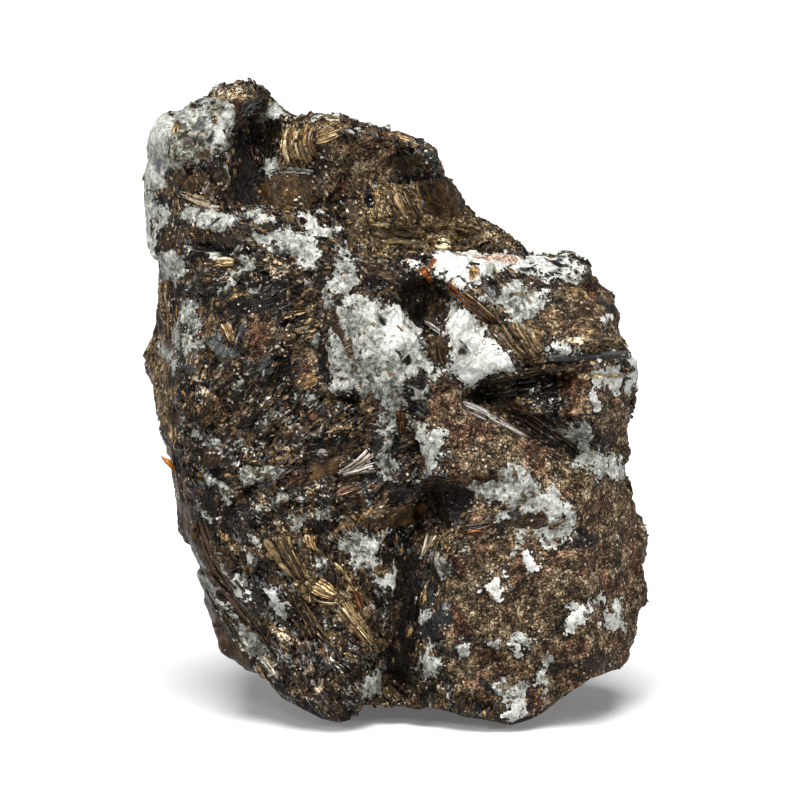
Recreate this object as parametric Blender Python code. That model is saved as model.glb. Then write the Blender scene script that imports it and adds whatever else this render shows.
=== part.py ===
"""A hand specimen of astrophyllite in feldspar: one broken lump of rock that stands on its own fractured base.

Blades of bronze astrophyllite, white feldspar, brown granular matrix and black aegirine grew through one
another, so the lump is a single solid. Its front faces -Y. Lengths are in millimetres until the last step.
"""

import math

import bpy
import bmesh
import numpy as np
from mathutils import Vector, bvhtree, kdtree, noise

MM = 0.001

# Driving sizes.
TOP = 95.0  # height of the outline's highest point
FRONT_BULGE = 17.0  # the front face stands this far before the middle plane
BACK_BULGE = 20.0
LEAN = 4.5  # the top of the lump lies this far behind its foot
SLAB_HALF = 20.0
FINE_VOXEL = 0.95
SKIN_LOSS = 0.5  # makes up for what the broken faces add to the outline
FRACTURE_SHARE = 0.85  # how much of what lies outside a fracture is taken away
FACE_BUDGET = 6600
BLADE_SINK = 1.8  # how deep a stout blade's foot is buried
BLADE_TAPER = 0.55  # share of its width and height that a stout blade loses at each end
BLADE_TOP = 0.6  # a blade's top face is this much of the width of its foot
UNEVEN_BLADES = 0.35  # every other blade of a bundle stands this much lower

# The lump's outline seen square from the front, clockwise from its upper left corner: (x, z).
OUTLINE = [
    (-36.2, 86.5), (-35.4, 88.4), (-34.4, 89.4), (-31.0, 90.6), (-28.0, 92.6), (-26.0, 94.4),
    (-24.2, 94.6), (-21.2, 95.8), (-19.2, 95.2), (-18.2, 93.6), (-17.0, 91.8), (-15.6, 90.2),
    (-14.0, 88.9), (-10.0, 89.1), (-6.8, 88.6), (-4.8, 87.2), (-2.0, 87.7), (1.4, 87.5),
    (4.6, 86.0), (6.8, 84.3), (8.8, 79.8), (11.2, 75.4), (13.8, 74.0), (16.0, 73.0),
    (18.4, 70.6), (20.8, 68.4), (24.4, 67.8), (28.6, 67.8), (30.8, 65.8), (32.0, 63.6),
    (34.4, 61.4), (34.8, 58.4), (35.6, 56.4), (37.6, 55.2), (38.2, 51.6), (36.4, 48.4),
    (36.0, 43.0), (36.6, 38.0), (35.6, 33.9), (37.2, 31.4), (38.6, 27.8), (38.2, 24.8),
    (39.0, 22.7), (38.6, 17.3), (37.8, 13.0), (37.4, 9.6), (35.6, 7.2), (32.0, 5.8),
    (29.4, 4.8), (26.4, 3.0), (23.0, -0.4), (20.6, -2.4), (17.0, -2.9), (14.0, -2.2),
    (11.3, -0.8), (8.2, 0.2), (2.0, 0.6), (-4.1, 1.0), (-5.9, -1.2), (-7.2, -2.5),
    (-9.2, -2.8), (-11.5, -1.6), (-13.6, 0.4), (-16.7, 3.0), (-19.5, 6.0), (-21.5, 7.0),
    (-24.6, 9.0), (-26.4, 12.6), (-27.6, 16.0), (-28.8, 20.3), (-30.4, 24.8), (-31.8, 30.9),
    (-33.2, 37.0), (-34.2, 43.0), (-35.8, 48.1), (-36.0, 53.2), (-35.1, 56.2), (-35.6, 64.4),
    (-36.8, 70.5), (-37.8, 75.5), (-37.0, 80.6),
]

# Broad areas of the front that stand back (minus) or forward, as (outline, amount, width of the slope).
FRONT_AREAS = {
    "upper block, behind the bright ledge": (
        [(-7, 72), (1, 70), (6, 68.5), (13, 68.6), (24, 67.4), (34, 68), (34, 99), (-18.5, 99), (-19, 77),
         (-12, 76)], -9.0, 2.4),
    "shadowed recess beside the knob": (
        [(-23.5, 77), (-18.5, 77), (-18.5, 92), (-21.5, 91), (-23.5, 84)], -8.5, 1.4),
    "smooth block under the ribbed fan": ([(-19, 76), (-12, 76), (-12, 81), (-19, 81)], 2.2, 0.8),
    "granular band above it": ([(-13, 80), (-2, 82), (0, 87), (-9, 87), (-14, 83)], 1.6, 1.4),
    "pit with the black crystal": ([(3, 66), (8, 65.5), (9.5, 62), (7, 58.5), (3.5, 60.5)], -6.0, 1.3),
    "white vein": ([(-10, 62), (-6, 68), (-2, 62), (3, 60), (5, 52), (1, 49), (0, 40), (-3, 40), (-3, 49),
                    (-9, 50)], 1.9, 1.5),
    "right-hand feldspar": ([(8, 64), (13, 61), (19, 55), (12, 52), (7, 53)], 1.8, 1.3),
    "brow over the right-hand wedge": ([(13, 53), (22, 56), (35, 56), (34, 60), (20, 61)], 1.6, 1.1),
    "lower right block": ([(8, 8), (34, 12), (34, 31), (27, 39), (14, 43), (7, 37)], 2.6, 4.0),
    "dark corner above the valley": ([(4, 31.5), (11, 32.5), (11.5, 37), (5, 37)], -3.4, 1.8),
    "left shoulder": ([(-34, 60), (-20, 74), (-14, 66), (-16, 46), (-30, 40)], 1.6, 4.0),
    "left foot": ([(-15, 2), (-5, 0), (-3, 12), (-12, 14)], 2.4, 2.4),
    "right foot": ([(10, 0), (22, 0), (24, 8), (9, 9)], 2.2, 2.4),
}

# Ridges (plus) and grooves (minus) that run along a line on the front: (points, amount, half width).
FRONT_LINES = {
    "edge of the left flank": ([(-33, 88), (-33.5, 70), (-32.5, 52), (-31, 38), (-27, 24)], 1.6, 1.6),
    "valley up the middle": ([(1.0, 2), (1.2, 10), (1.8, 18), (2.4, 26), (5, 31)], -5.6, 3.1),
    "wedge, upper arm": ([(13, 48.8), (17, 50.6), (21, 51.6), (26, 52.2)], -4.4, 1.2),
    "wedge, lower arm": ([(13, 48.4), (18, 46.6), (23, 44.2), (29, 41.2)], -4.6, 1.5),
    "ridge beside the wedge": ([(10.5, 48), (15, 45.6), (21, 42)], 1.3, 0.9),
    "outer lamella": ([(-31, 31), (-28.5, 23), (-24, 15), (-19.5, 8)], 1.8, 1.1),
    "groove behind it": ([(-29.5, 31), (-26, 23), (-21.5, 15), (-16, 7.5)], -2.2, 1.1),
    "middle lamella": ([(-27, 30), (-22.5, 22), (-17, 14.5), (-13, 8)], 1.9, 1.1),
    "groove inside it": ([(-24, 28), (-19.5, 21), (-14.5, 14.5)], -1.9, 1.0),
    "inner lamella": ([(-21, 28), (-16, 22), (-10, 15.5), (-6, 9)], 1.5, 1.1),
    "step under the upper block": ([(-2, 79), (4, 74.5), (10, 73)], 1.6, 1.2),
    "crack down the upper block": ([(8, 82), (1, 81), (-6, 80)], -2.2, 0.9),
    "diagonal crack on the left": ([(-29, 43), (-22, 48), (-15, 54)], -2.0, 1.0),
    "crack by the right foot": ([(11, 12), (13.5, 8), (15, 4)], -1.6, 0.8),
}

# Bundles of stout blades that stand out of the front, laid side by side. Each is the line of their roots, the
# line of their tips, how many, how wide each is, and how far it stands out.
BLADE_BUNDLES = {
    "ribbed fan at the top": ((-17.8, 88.2), (-8.4, 87.8), (-15.6, 81.8), (-7.6, 83.2), 8, 0.95, 1.0),
    "ribs of the upper block": ((-2.6, 79.6), (6.4, 79.6), (0.2, 73.4), (8.6, 74.6), 7, 1.05, 0.9),
    "ribs under the ledge": ((14.0, 61.4), (20.8, 60.4), (17.0, 55.2), (23.4, 55.2), 6, 1.0, 0.9),
    "blade across the feldspar": ((9.0, 66.2), (10.2, 66.8), (14.4, 60.2), (15.2, 60.8), 2, 1.1, 1.2),
    "silver bundle": ((-9.0, 38.4), (-8.2, 37.0), (-3.2, 41.8), (-3.0, 39.0), 3, 0.95, 1.0),
    "blade over the wedge": ((10.8, 48.6), (10.8, 48.6), (20.6, 43.0), (20.6, 43.0), 1, 1.3, 1.2),
    "black prism": ((21.6, 54.6), (21.6, 54.6), (33.4, 55.6), (33.4, 55.6), 1, 1.7, 1.3),
    "columns in the valley": ((-0.7, 27.5), (5.3, 27.0), (-1.8, 8.0), (4.9, 7.0), 4, 1.7, 2.2),
    "splinters on the left": ((-32.0, 81.6), (-31.4, 80.4), (-24.8, 79.8), (-24.6, 78.6), 2, 0.8, 0.8),
    "upper fan, lower left": ((-21.5, 30.0), (-15.0, 31.0), (-13.5, 20.0), (-10.0, 23.0), 5, 1.1, 0.9),
    "golden fan, lower left": ((-13.5, 22.5), (-9.0, 25.5), (-6.5, 13.0), (-3.0, 15.5), 5, 1.1, 1.0),
    "fan over the left foot": ((-16.5, 13.0), (-11.5, 14.5), (-10.5, 5.0), (-6.5, 7.5), 4, 1.2, 0.9),
}

# Flat fractures that took corners off the flanks and the back: (a point on the fracture, its outward normal).
FRACTURES = {
    "back, upper left": ((-14, 15, 72), (-0.35, 0.85, 0.38)),
    "back, upper right": ((12, 12, 70), (0.50, 0.72, 0.48)),
    "back, lower right": ((22, 16, 26), (0.52, 0.84, -0.15)),
    "back, lower left": ((-20, 17, 26), (-0.50, 0.84, -0.20)),
    "left flank": ((-35.0, -4, 50), (-0.90, -0.44, 0.02)),
    "left flank, behind": ((-34.5, 8, 55), (-0.88, 0.47, 0.05)),
    "right flank": ((34.5, -8, 30), (0.86, -0.50, 0.05)),
    "right flank, behind": ((33.5, 8, 34), (0.86, 0.50, 0.10)),
    "under the left lobe": ((-24, -13, 5), (-0.45, -0.40, -0.80)),
    "under the right lobe": ((33, -11, 3), (0.40, -0.35, -0.85)),
}

# The foot hidden behind carries most of the weight: the corners of its hull.
REAR_FOOT = [
    (-17, 3, -0.6), (11, 0, -0.6), (15, 9, -0.6), (5, 16, -0.6), (-12, 15, -0.6),
    (-22, 4, 12), (20, 2, 12), (18, 14, 14), (4, 18, 15), (-16, 16, 14),
]


def smooth_step(t):
    """0 below t = 0, 1 above t = 1, and an S-curve between."""
    t = np.clip(t, 0.0, 1.0)
    return t * t * (3.0 - 2.0 * t)


def line_distance(points, line, closed=False):
    """Distance of each (x, z) point from a line of straight runs."""
    corners = np.array(line, float)
    starts = corners if closed else corners[:-1]
    ends = np.roll(corners, -1, axis=0) if closed else corners[1:]
    nearest = np.full(len(points), np.inf)
    for start, end in zip(starts, ends):
        run = end - start
        along = np.clip((points - start) @ run / (run @ run), 0.0, 1.0)
        nearest = np.minimum(nearest, np.linalg.norm(points - start - along[:, None] * run, axis=1))
    return nearest


def depth_inside(points, outline):
    """Distance of each (x, z) point from a closed outline, positive inside it."""
    corners = np.array(outline, float)
    inside = np.zeros(len(points), bool)
    for (ax, az), (bx, bz) in zip(corners, np.roll(corners, -1, axis=0)):
        crosses = (az > points[:, 1]) != (bz > points[:, 1])
        run = bz - az if bz != az else 1e-9
        inside ^= crosses & (points[:, 0] < (bx - ax) * (points[:, 1] - az) / run + ax)
    return np.where(inside, 1.0, -1.0) * line_distance(points, outline, closed=True)


def coordinates(mesh):
    """The mesh's vertices as an array of (x, y, z)."""
    flat = np.empty(len(mesh.vertices) * 3, np.float32)
    mesh.vertices.foreach_get("co", flat)
    return flat.reshape(-1, 3).astype(float)


def normals(mesh):
    """The mesh's vertex normals as an array of (x, y, z)."""
    flat = np.empty(len(mesh.vertices) * 3, np.float32)
    mesh.vertex_normals.foreach_get("vector", flat)
    return flat.reshape(-1, 3).astype(float)


def move_to(mesh, points):
    mesh.vertices.foreach_set("co", points.astype(np.float32).ravel())
    mesh.update()


def apply_modifiers(obj):
    """Replaces the object's mesh with what its modifiers make of it."""
    graph = bpy.context.evaluated_depsgraph_get()
    made = bpy.data.meshes.new_from_object(obj.evaluated_get(graph))
    obj.modifiers.clear()
    old, obj.data = obj.data, made
    bpy.data.meshes.remove(old)


def remesh(obj, voxel):
    modifier = obj.modifiers.new("even skin", "REMESH")
    modifier.mode = "VOXEL"
    modifier.voxel_size = voxel
    apply_modifiers(obj)


def object_from(build, name):
    """A new object in the scene that holds what was built."""
    mesh = bpy.data.meshes.new(name)
    build.to_mesh(mesh)
    build.free()
    obj = bpy.data.objects.new(name, mesh)
    bpy.context.scene.collection.objects.link(obj)
    return obj


def outline_slab():
    """The outline as a flat slab, from -SLAB_HALF to SLAB_HALF in y."""
    build = bmesh.new()
    face = build.faces.new([build.verts.new((x, -SLAB_HALF, z)) for x, z in OUTLINE])
    swept = bmesh.ops.extrude_face_region(build, geom=[face])["geom"]
    bmesh.ops.translate(
        build,
        vec=(0, 2 * SLAB_HALF, 0),
        verts=[part for part in swept if isinstance(part, bmesh.types.BMVert)],
    )
    bmesh.ops.recalc_face_normals(build, faces=build.faces)
    return object_from(build, "astrophyllite_rock")


def swell(mesh):
    """Turns the flat slab into a lump: thin at its outline, full in the middle, with the front's areas and lines."""
    points = coordinates(mesh)
    plan = points[:, [0, 2]]
    height = points[:, 2]
    inward = np.maximum(depth_inside(plan, OUTLINE), 0.0)

    near_base = 1.0 - smooth_step((height - 4.0) / 16.0)
    rim_share = 0.40 + 0.48 * near_base
    rim_width = 13.0 - 6.0 * near_base
    rounding = np.sqrt(1.0 - (1.0 - np.clip(inward / rim_width, 0.0, 1.0)) ** 2)
    fullness = rim_share + (1.0 - rim_share) * rounding

    relief = np.zeros(len(points))
    for outline, amount, slope in FRONT_AREAS.values():
        relief += amount * smooth_step(0.5 + depth_inside(plan, outline) / (2.0 * slope))
    for line, amount, half_width in FRONT_LINES.values():
        relief += amount * np.exp(-((line_distance(plan, line) / half_width) ** 2))

    front = fullness * FRONT_BULGE + relief * smooth_step(inward / 4.0)
    back = fullness * BACK_BULGE
    share = points[:, 1] / SLAB_HALF
    points[:, 1] = np.where(share < 0, share * front, share * back) + LEAN * height / TOP
    move_to(mesh, points)


def cut_fractures(mesh):
    """Moves whatever lies outside a fracture back onto it, which leaves a flat there."""
    points = coordinates(mesh)
    for place, outward in FRACTURES.values():
        normal = np.array(outward) / np.linalg.norm(outward)
        outside = np.maximum((points - np.array(place)) @ normal, 0.0)
        points -= FRACTURE_SHARE * outside[:, None] * normal
    move_to(mesh, points)


def rear_foot():
    """The hidden foot as a cut block."""
    build = bmesh.new()
    for corner in REAR_FOOT:
        build.verts.new(corner)
    bmesh.ops.convex_hull(build, input=build.verts)
    bmesh.ops.recalc_face_normals(build, faces=build.faces)
    return object_from(build, "rear foot")


def break_surface(mesh, spacing, tilt, seed):
    """Breaks the skin into crystal faces: each cell of the given spacing gets its own random tilt."""
    points = coordinates(mesh)
    outward = normals(mesh)
    random = np.random.default_rng(seed)
    low, high = points.min(axis=0), points.max(axis=0)
    count = int(np.prod(high - low) / spacing**3)
    centres = random.uniform(low, high, (count, 3))
    tilts = random.normal(0.0, tilt, (count, 3))
    tree = kdtree.KDTree(count)
    for index, centre in enumerate(centres):
        tree.insert(centre, index)
    tree.balance()
    cell = np.array([tree.find(point)[1] for point in points])
    height = ((points - centres[cell]) * tilts[cell]).sum(axis=1)
    move_to(mesh, points + outward * height[:, None])


def roughen(mesh, size, amount):
    """Adds broad, rounded unevenness."""
    points = coordinates(mesh)
    outward = normals(mesh)
    height = np.array([noise.fractal(Vector(point / size), 1.0, 2.0, 3) for point in points])
    move_to(mesh, points + outward * (amount * height[:, None] - SKIN_LOSS))


def blade(skin, start, end, width, proud):
    """A bar with a narrower top, half sunk in the front between two (x, z) places."""
    places = []
    outward = Vector()
    for x, z in (start, (start + end) / 2.0, end):
        place, facing, _, _ = skin.ray_cast(Vector((x, -90.0, z)), Vector((0.0, 1.0, 0.0)))
        places.append(place)
        outward += facing
    root, on_skin, tip = places
    axis = (tip - root).normalized()
    across = axis.cross(outward).normalized() * (width / 2.0)
    lift = across.cross(axis).normalized()
    if lift.y > 0:
        lift = -lift
    middle = (root + tip) / 2.0
    clear = lift * max(0.0, (on_skin - middle) @ lift)
    build = bmesh.new()
    rings = []
    for place, shrink in ((root + clear, 1.0), (middle + clear, 0.0), (tip + clear, 1.0)):
        top = place + lift * proud * (1.0 - BLADE_TAPER * shrink)
        bottom = place - lift * BLADE_SINK
        side = across * (1.0 - BLADE_TAPER * shrink)
        corners = (bottom - side, top - side * BLADE_TOP, top + side * BLADE_TOP, bottom + side)
        rings.append([build.verts.new(corner) for corner in corners])
    for near, far in zip(rings, rings[1:]):
        for i, corner in enumerate(near):
            following = (i + 1) % len(near)
            build.faces.new((corner, near[following], far[following], far[i]))
    build.faces.new(rings[0][::-1])
    build.faces.new(rings[-1])
    bmesh.ops.recalc_face_normals(build, faces=build.faces)
    return object_from(build, "blade")


def add_blades(obj):
    """Joins the bundles of stout blades on, one blade at a time."""
    skin = bvhtree.BVHTree.FromObject(obj, bpy.context.evaluated_depsgraph_get())
    for root_a, root_b, tip_a, tip_b, count, width, proud in BLADE_BUNDLES.values():
        for i in range(count):
            share = i / (count - 1) if count > 1 else 0.5
            root = Vector(root_a).lerp(Vector(root_b), share)
            tip = Vector(tip_a).lerp(Vector(tip_b), share)
            join(obj, blade(skin, root, tip, width, proud * (1.0 - UNEVEN_BLADES * (i % 2))))


def join(obj, other):
    """Unites another object with this one and removes it."""
    joined = obj.modifiers.new("joined", "BOOLEAN")
    joined.operation = "UNION"
    joined.solver = "MANIFOLD"
    joined.object = other
    apply_modifiers(obj)
    bpy.data.objects.remove(other)


def keep_largest_body(obj):
    """Removes the crumbs that a Boolean cuts off where thin folds of the skin cross."""
    build = bmesh.new()
    build.from_mesh(obj.data)
    left = set(build.verts)
    bodies = []
    while left:
        body, front = [], [left.pop()]
        while front:
            corner = front.pop()
            body.append(corner)
            neighbours = {edge.other_vert(corner) for edge in corner.link_edges} & left
            left -= neighbours
            front.extend(neighbours)
        bodies.append(body)
    for body in sorted(bodies, key=len)[:-1]:
        bmesh.ops.delete(build, geom=body, context="VERTS")
    build.to_mesh(obj.data)
    build.free()


def thin_faces(obj):
    modifier = obj.modifiers.new("fewer faces", "DECIMATE")
    modifier.ratio = FACE_BUDGET / sum(len(face.vertices) - 2 for face in obj.data.polygons)
    modifier.use_collapse_triangulate = True
    apply_modifiers(obj)


def stand_on_ground(obj):
    """Cuts the feet off level, so that the lump rests on three flats at z = 0."""
    points = coordinates(obj.data)
    low, high = points.min(axis=0), points.max(axis=0)
    bpy.ops.mesh.primitive_cube_add(size=1.0)
    ground = bpy.context.object
    ground.scale = (200.0, 200.0, 50.0)
    ground.location = (0.0, 0.0, -25.0)
    cut = obj.modifiers.new("ground", "BOOLEAN")
    cut.object = ground
    cut.operation = "DIFFERENCE"
    apply_modifiers(obj)
    bpy.data.objects.remove(ground)
    centre = (low + high) / 2.0
    points = coordinates(obj.data) - np.array([centre[0], centre[1], 0.0])
    move_to(obj.data, points * MM)


def rock_material():
    material = bpy.data.materials.new("astrophyllite rock")
    material.use_nodes = True
    surface = material.node_tree.nodes["Principled BSDF"]
    surface.inputs["Base Color"].default_value = (0.105, 0.070, 0.042, 1.0)
    surface.inputs["Roughness"].default_value = 0.5
    surface.inputs["Metallic"].default_value = 0.0
    return material


def main():
    for old in list(bpy.data.objects):
        bpy.data.objects.remove(old)
    rock = outline_slab()
    remesh(rock, FINE_VOXEL)
    swell(rock.data)
    cut_fractures(rock.data)
    join(rock, rear_foot())
    remesh(rock, FINE_VOXEL)
    roughen(rock.data, 11.0, 0.9)
    break_surface(rock.data, 9.0, 0.09, 5)
    break_surface(rock.data, 4.5, 0.09, 11)
    thin_faces(rock)
    add_blades(rock)
    stand_on_ground(rock)
    keep_largest_body(rock)
    rock.data.materials.clear()
    rock.data.materials.append(rock_material())


main()
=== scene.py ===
"""Looks for an astrophyllite specimen: the broken lump's fine surface, its crystals and grains, and the stage.

Lengths in names that end in _MM are millimetres. Places on the front are given as x, z in millimetres on an
upright plane through the middle of the lump, as seen by the camera: x to the right and z up from the floor.
"""

import math

import bmesh
import bpy
import numpy as np
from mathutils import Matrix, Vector, bvhtree, kdtree, noise


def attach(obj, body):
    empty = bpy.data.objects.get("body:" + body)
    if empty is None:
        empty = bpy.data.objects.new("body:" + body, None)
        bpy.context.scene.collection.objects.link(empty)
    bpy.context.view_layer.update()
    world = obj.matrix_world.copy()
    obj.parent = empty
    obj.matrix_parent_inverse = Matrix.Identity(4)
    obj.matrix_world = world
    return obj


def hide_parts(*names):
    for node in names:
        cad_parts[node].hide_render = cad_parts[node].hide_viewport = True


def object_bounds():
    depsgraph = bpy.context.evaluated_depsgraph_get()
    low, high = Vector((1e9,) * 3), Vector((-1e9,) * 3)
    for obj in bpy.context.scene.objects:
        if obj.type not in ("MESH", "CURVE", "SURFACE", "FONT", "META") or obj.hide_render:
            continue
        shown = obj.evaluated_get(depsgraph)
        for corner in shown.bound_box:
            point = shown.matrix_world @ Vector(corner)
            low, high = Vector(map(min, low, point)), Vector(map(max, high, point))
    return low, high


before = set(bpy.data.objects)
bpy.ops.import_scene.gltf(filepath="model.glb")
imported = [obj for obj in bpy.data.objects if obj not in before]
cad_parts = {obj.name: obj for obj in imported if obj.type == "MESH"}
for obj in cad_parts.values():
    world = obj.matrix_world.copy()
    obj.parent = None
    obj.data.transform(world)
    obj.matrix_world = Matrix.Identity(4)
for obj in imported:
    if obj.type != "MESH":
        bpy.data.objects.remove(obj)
cad_low, cad_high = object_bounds()


# ---- The view --------------------------------------------------------------------------------------------------
# A long lens looks down a little at the specimen's front from most of a metre away. The same view says where
# the minerals of the front lie, so it comes first.

MM = 0.001
VIEW_DISTANCE = 0.70
VIEW_ELEVATION = math.radians(10.0)
VIEW_AIM = Vector((0.0006, 0.0, 0.0464))
FRAME_WIDTH = 0.120  # what the picture takes in at the aim point
SENSOR_WIDTH = 36.0
AIM_ON_FRONT_MM = np.array([0.6, 48.3])  # the aim point's place in (x, z)

link_object = bpy.context.scene.collection.objects.link
view_forward = Vector((0.0, math.cos(VIEW_ELEVATION), -math.sin(VIEW_ELEVATION)))
view_up = Vector((0.0, math.sin(VIEW_ELEVATION), math.cos(VIEW_ELEVATION)))
camera_data = bpy.data.cameras.new("view")
camera_data.sensor_width = SENSOR_WIDTH
camera_data.lens = SENSOR_WIDTH * VIEW_DISTANCE / FRAME_WIDTH
camera_data.clip_start = 0.05
camera = bpy.data.objects.new("view", camera_data)
camera.location = VIEW_AIM - view_forward * VIEW_DISTANCE
camera.rotation_euler = (math.pi / 2.0 - VIEW_ELEVATION, 0.0, 0.0)
link_object(camera)
bpy.context.scene.camera = camera
lens_mm = np.array(camera.location) / MM
sight, rightward, upward = np.array(view_forward), np.array([1.0, 0.0, 0.0]), np.array(view_up)


def on_front(points):
    """Where points (n, 3) in millimetres lie on the front plane, as (x, z)."""
    away = points - lens_mm
    depth = away @ sight
    across = away[:, 0] * (VIEW_DISTANCE / MM) / depth
    above = away @ upward * (VIEW_DISTANCE / MM) / depth
    return np.stack([across, above], axis=1) + AIM_ON_FRONT_MM


# ---- The rock mass ---------------------------------------------------------------------------------------------
# One broken lump of intergrown minerals, all of it natural and unpolished. Its skin follows the solid, evened
# out to small quads, and then broken up mineral by mineral.

SKIN_VOXEL = 0.00072
SEAM_MM = 4.0  # the front and the rear skin meet at this depth
WAIST_MM = 46.0  # the two front skins meet at this height
SEEN_TO_MM = 14.0  # nothing deeper than this shows from the front

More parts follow.
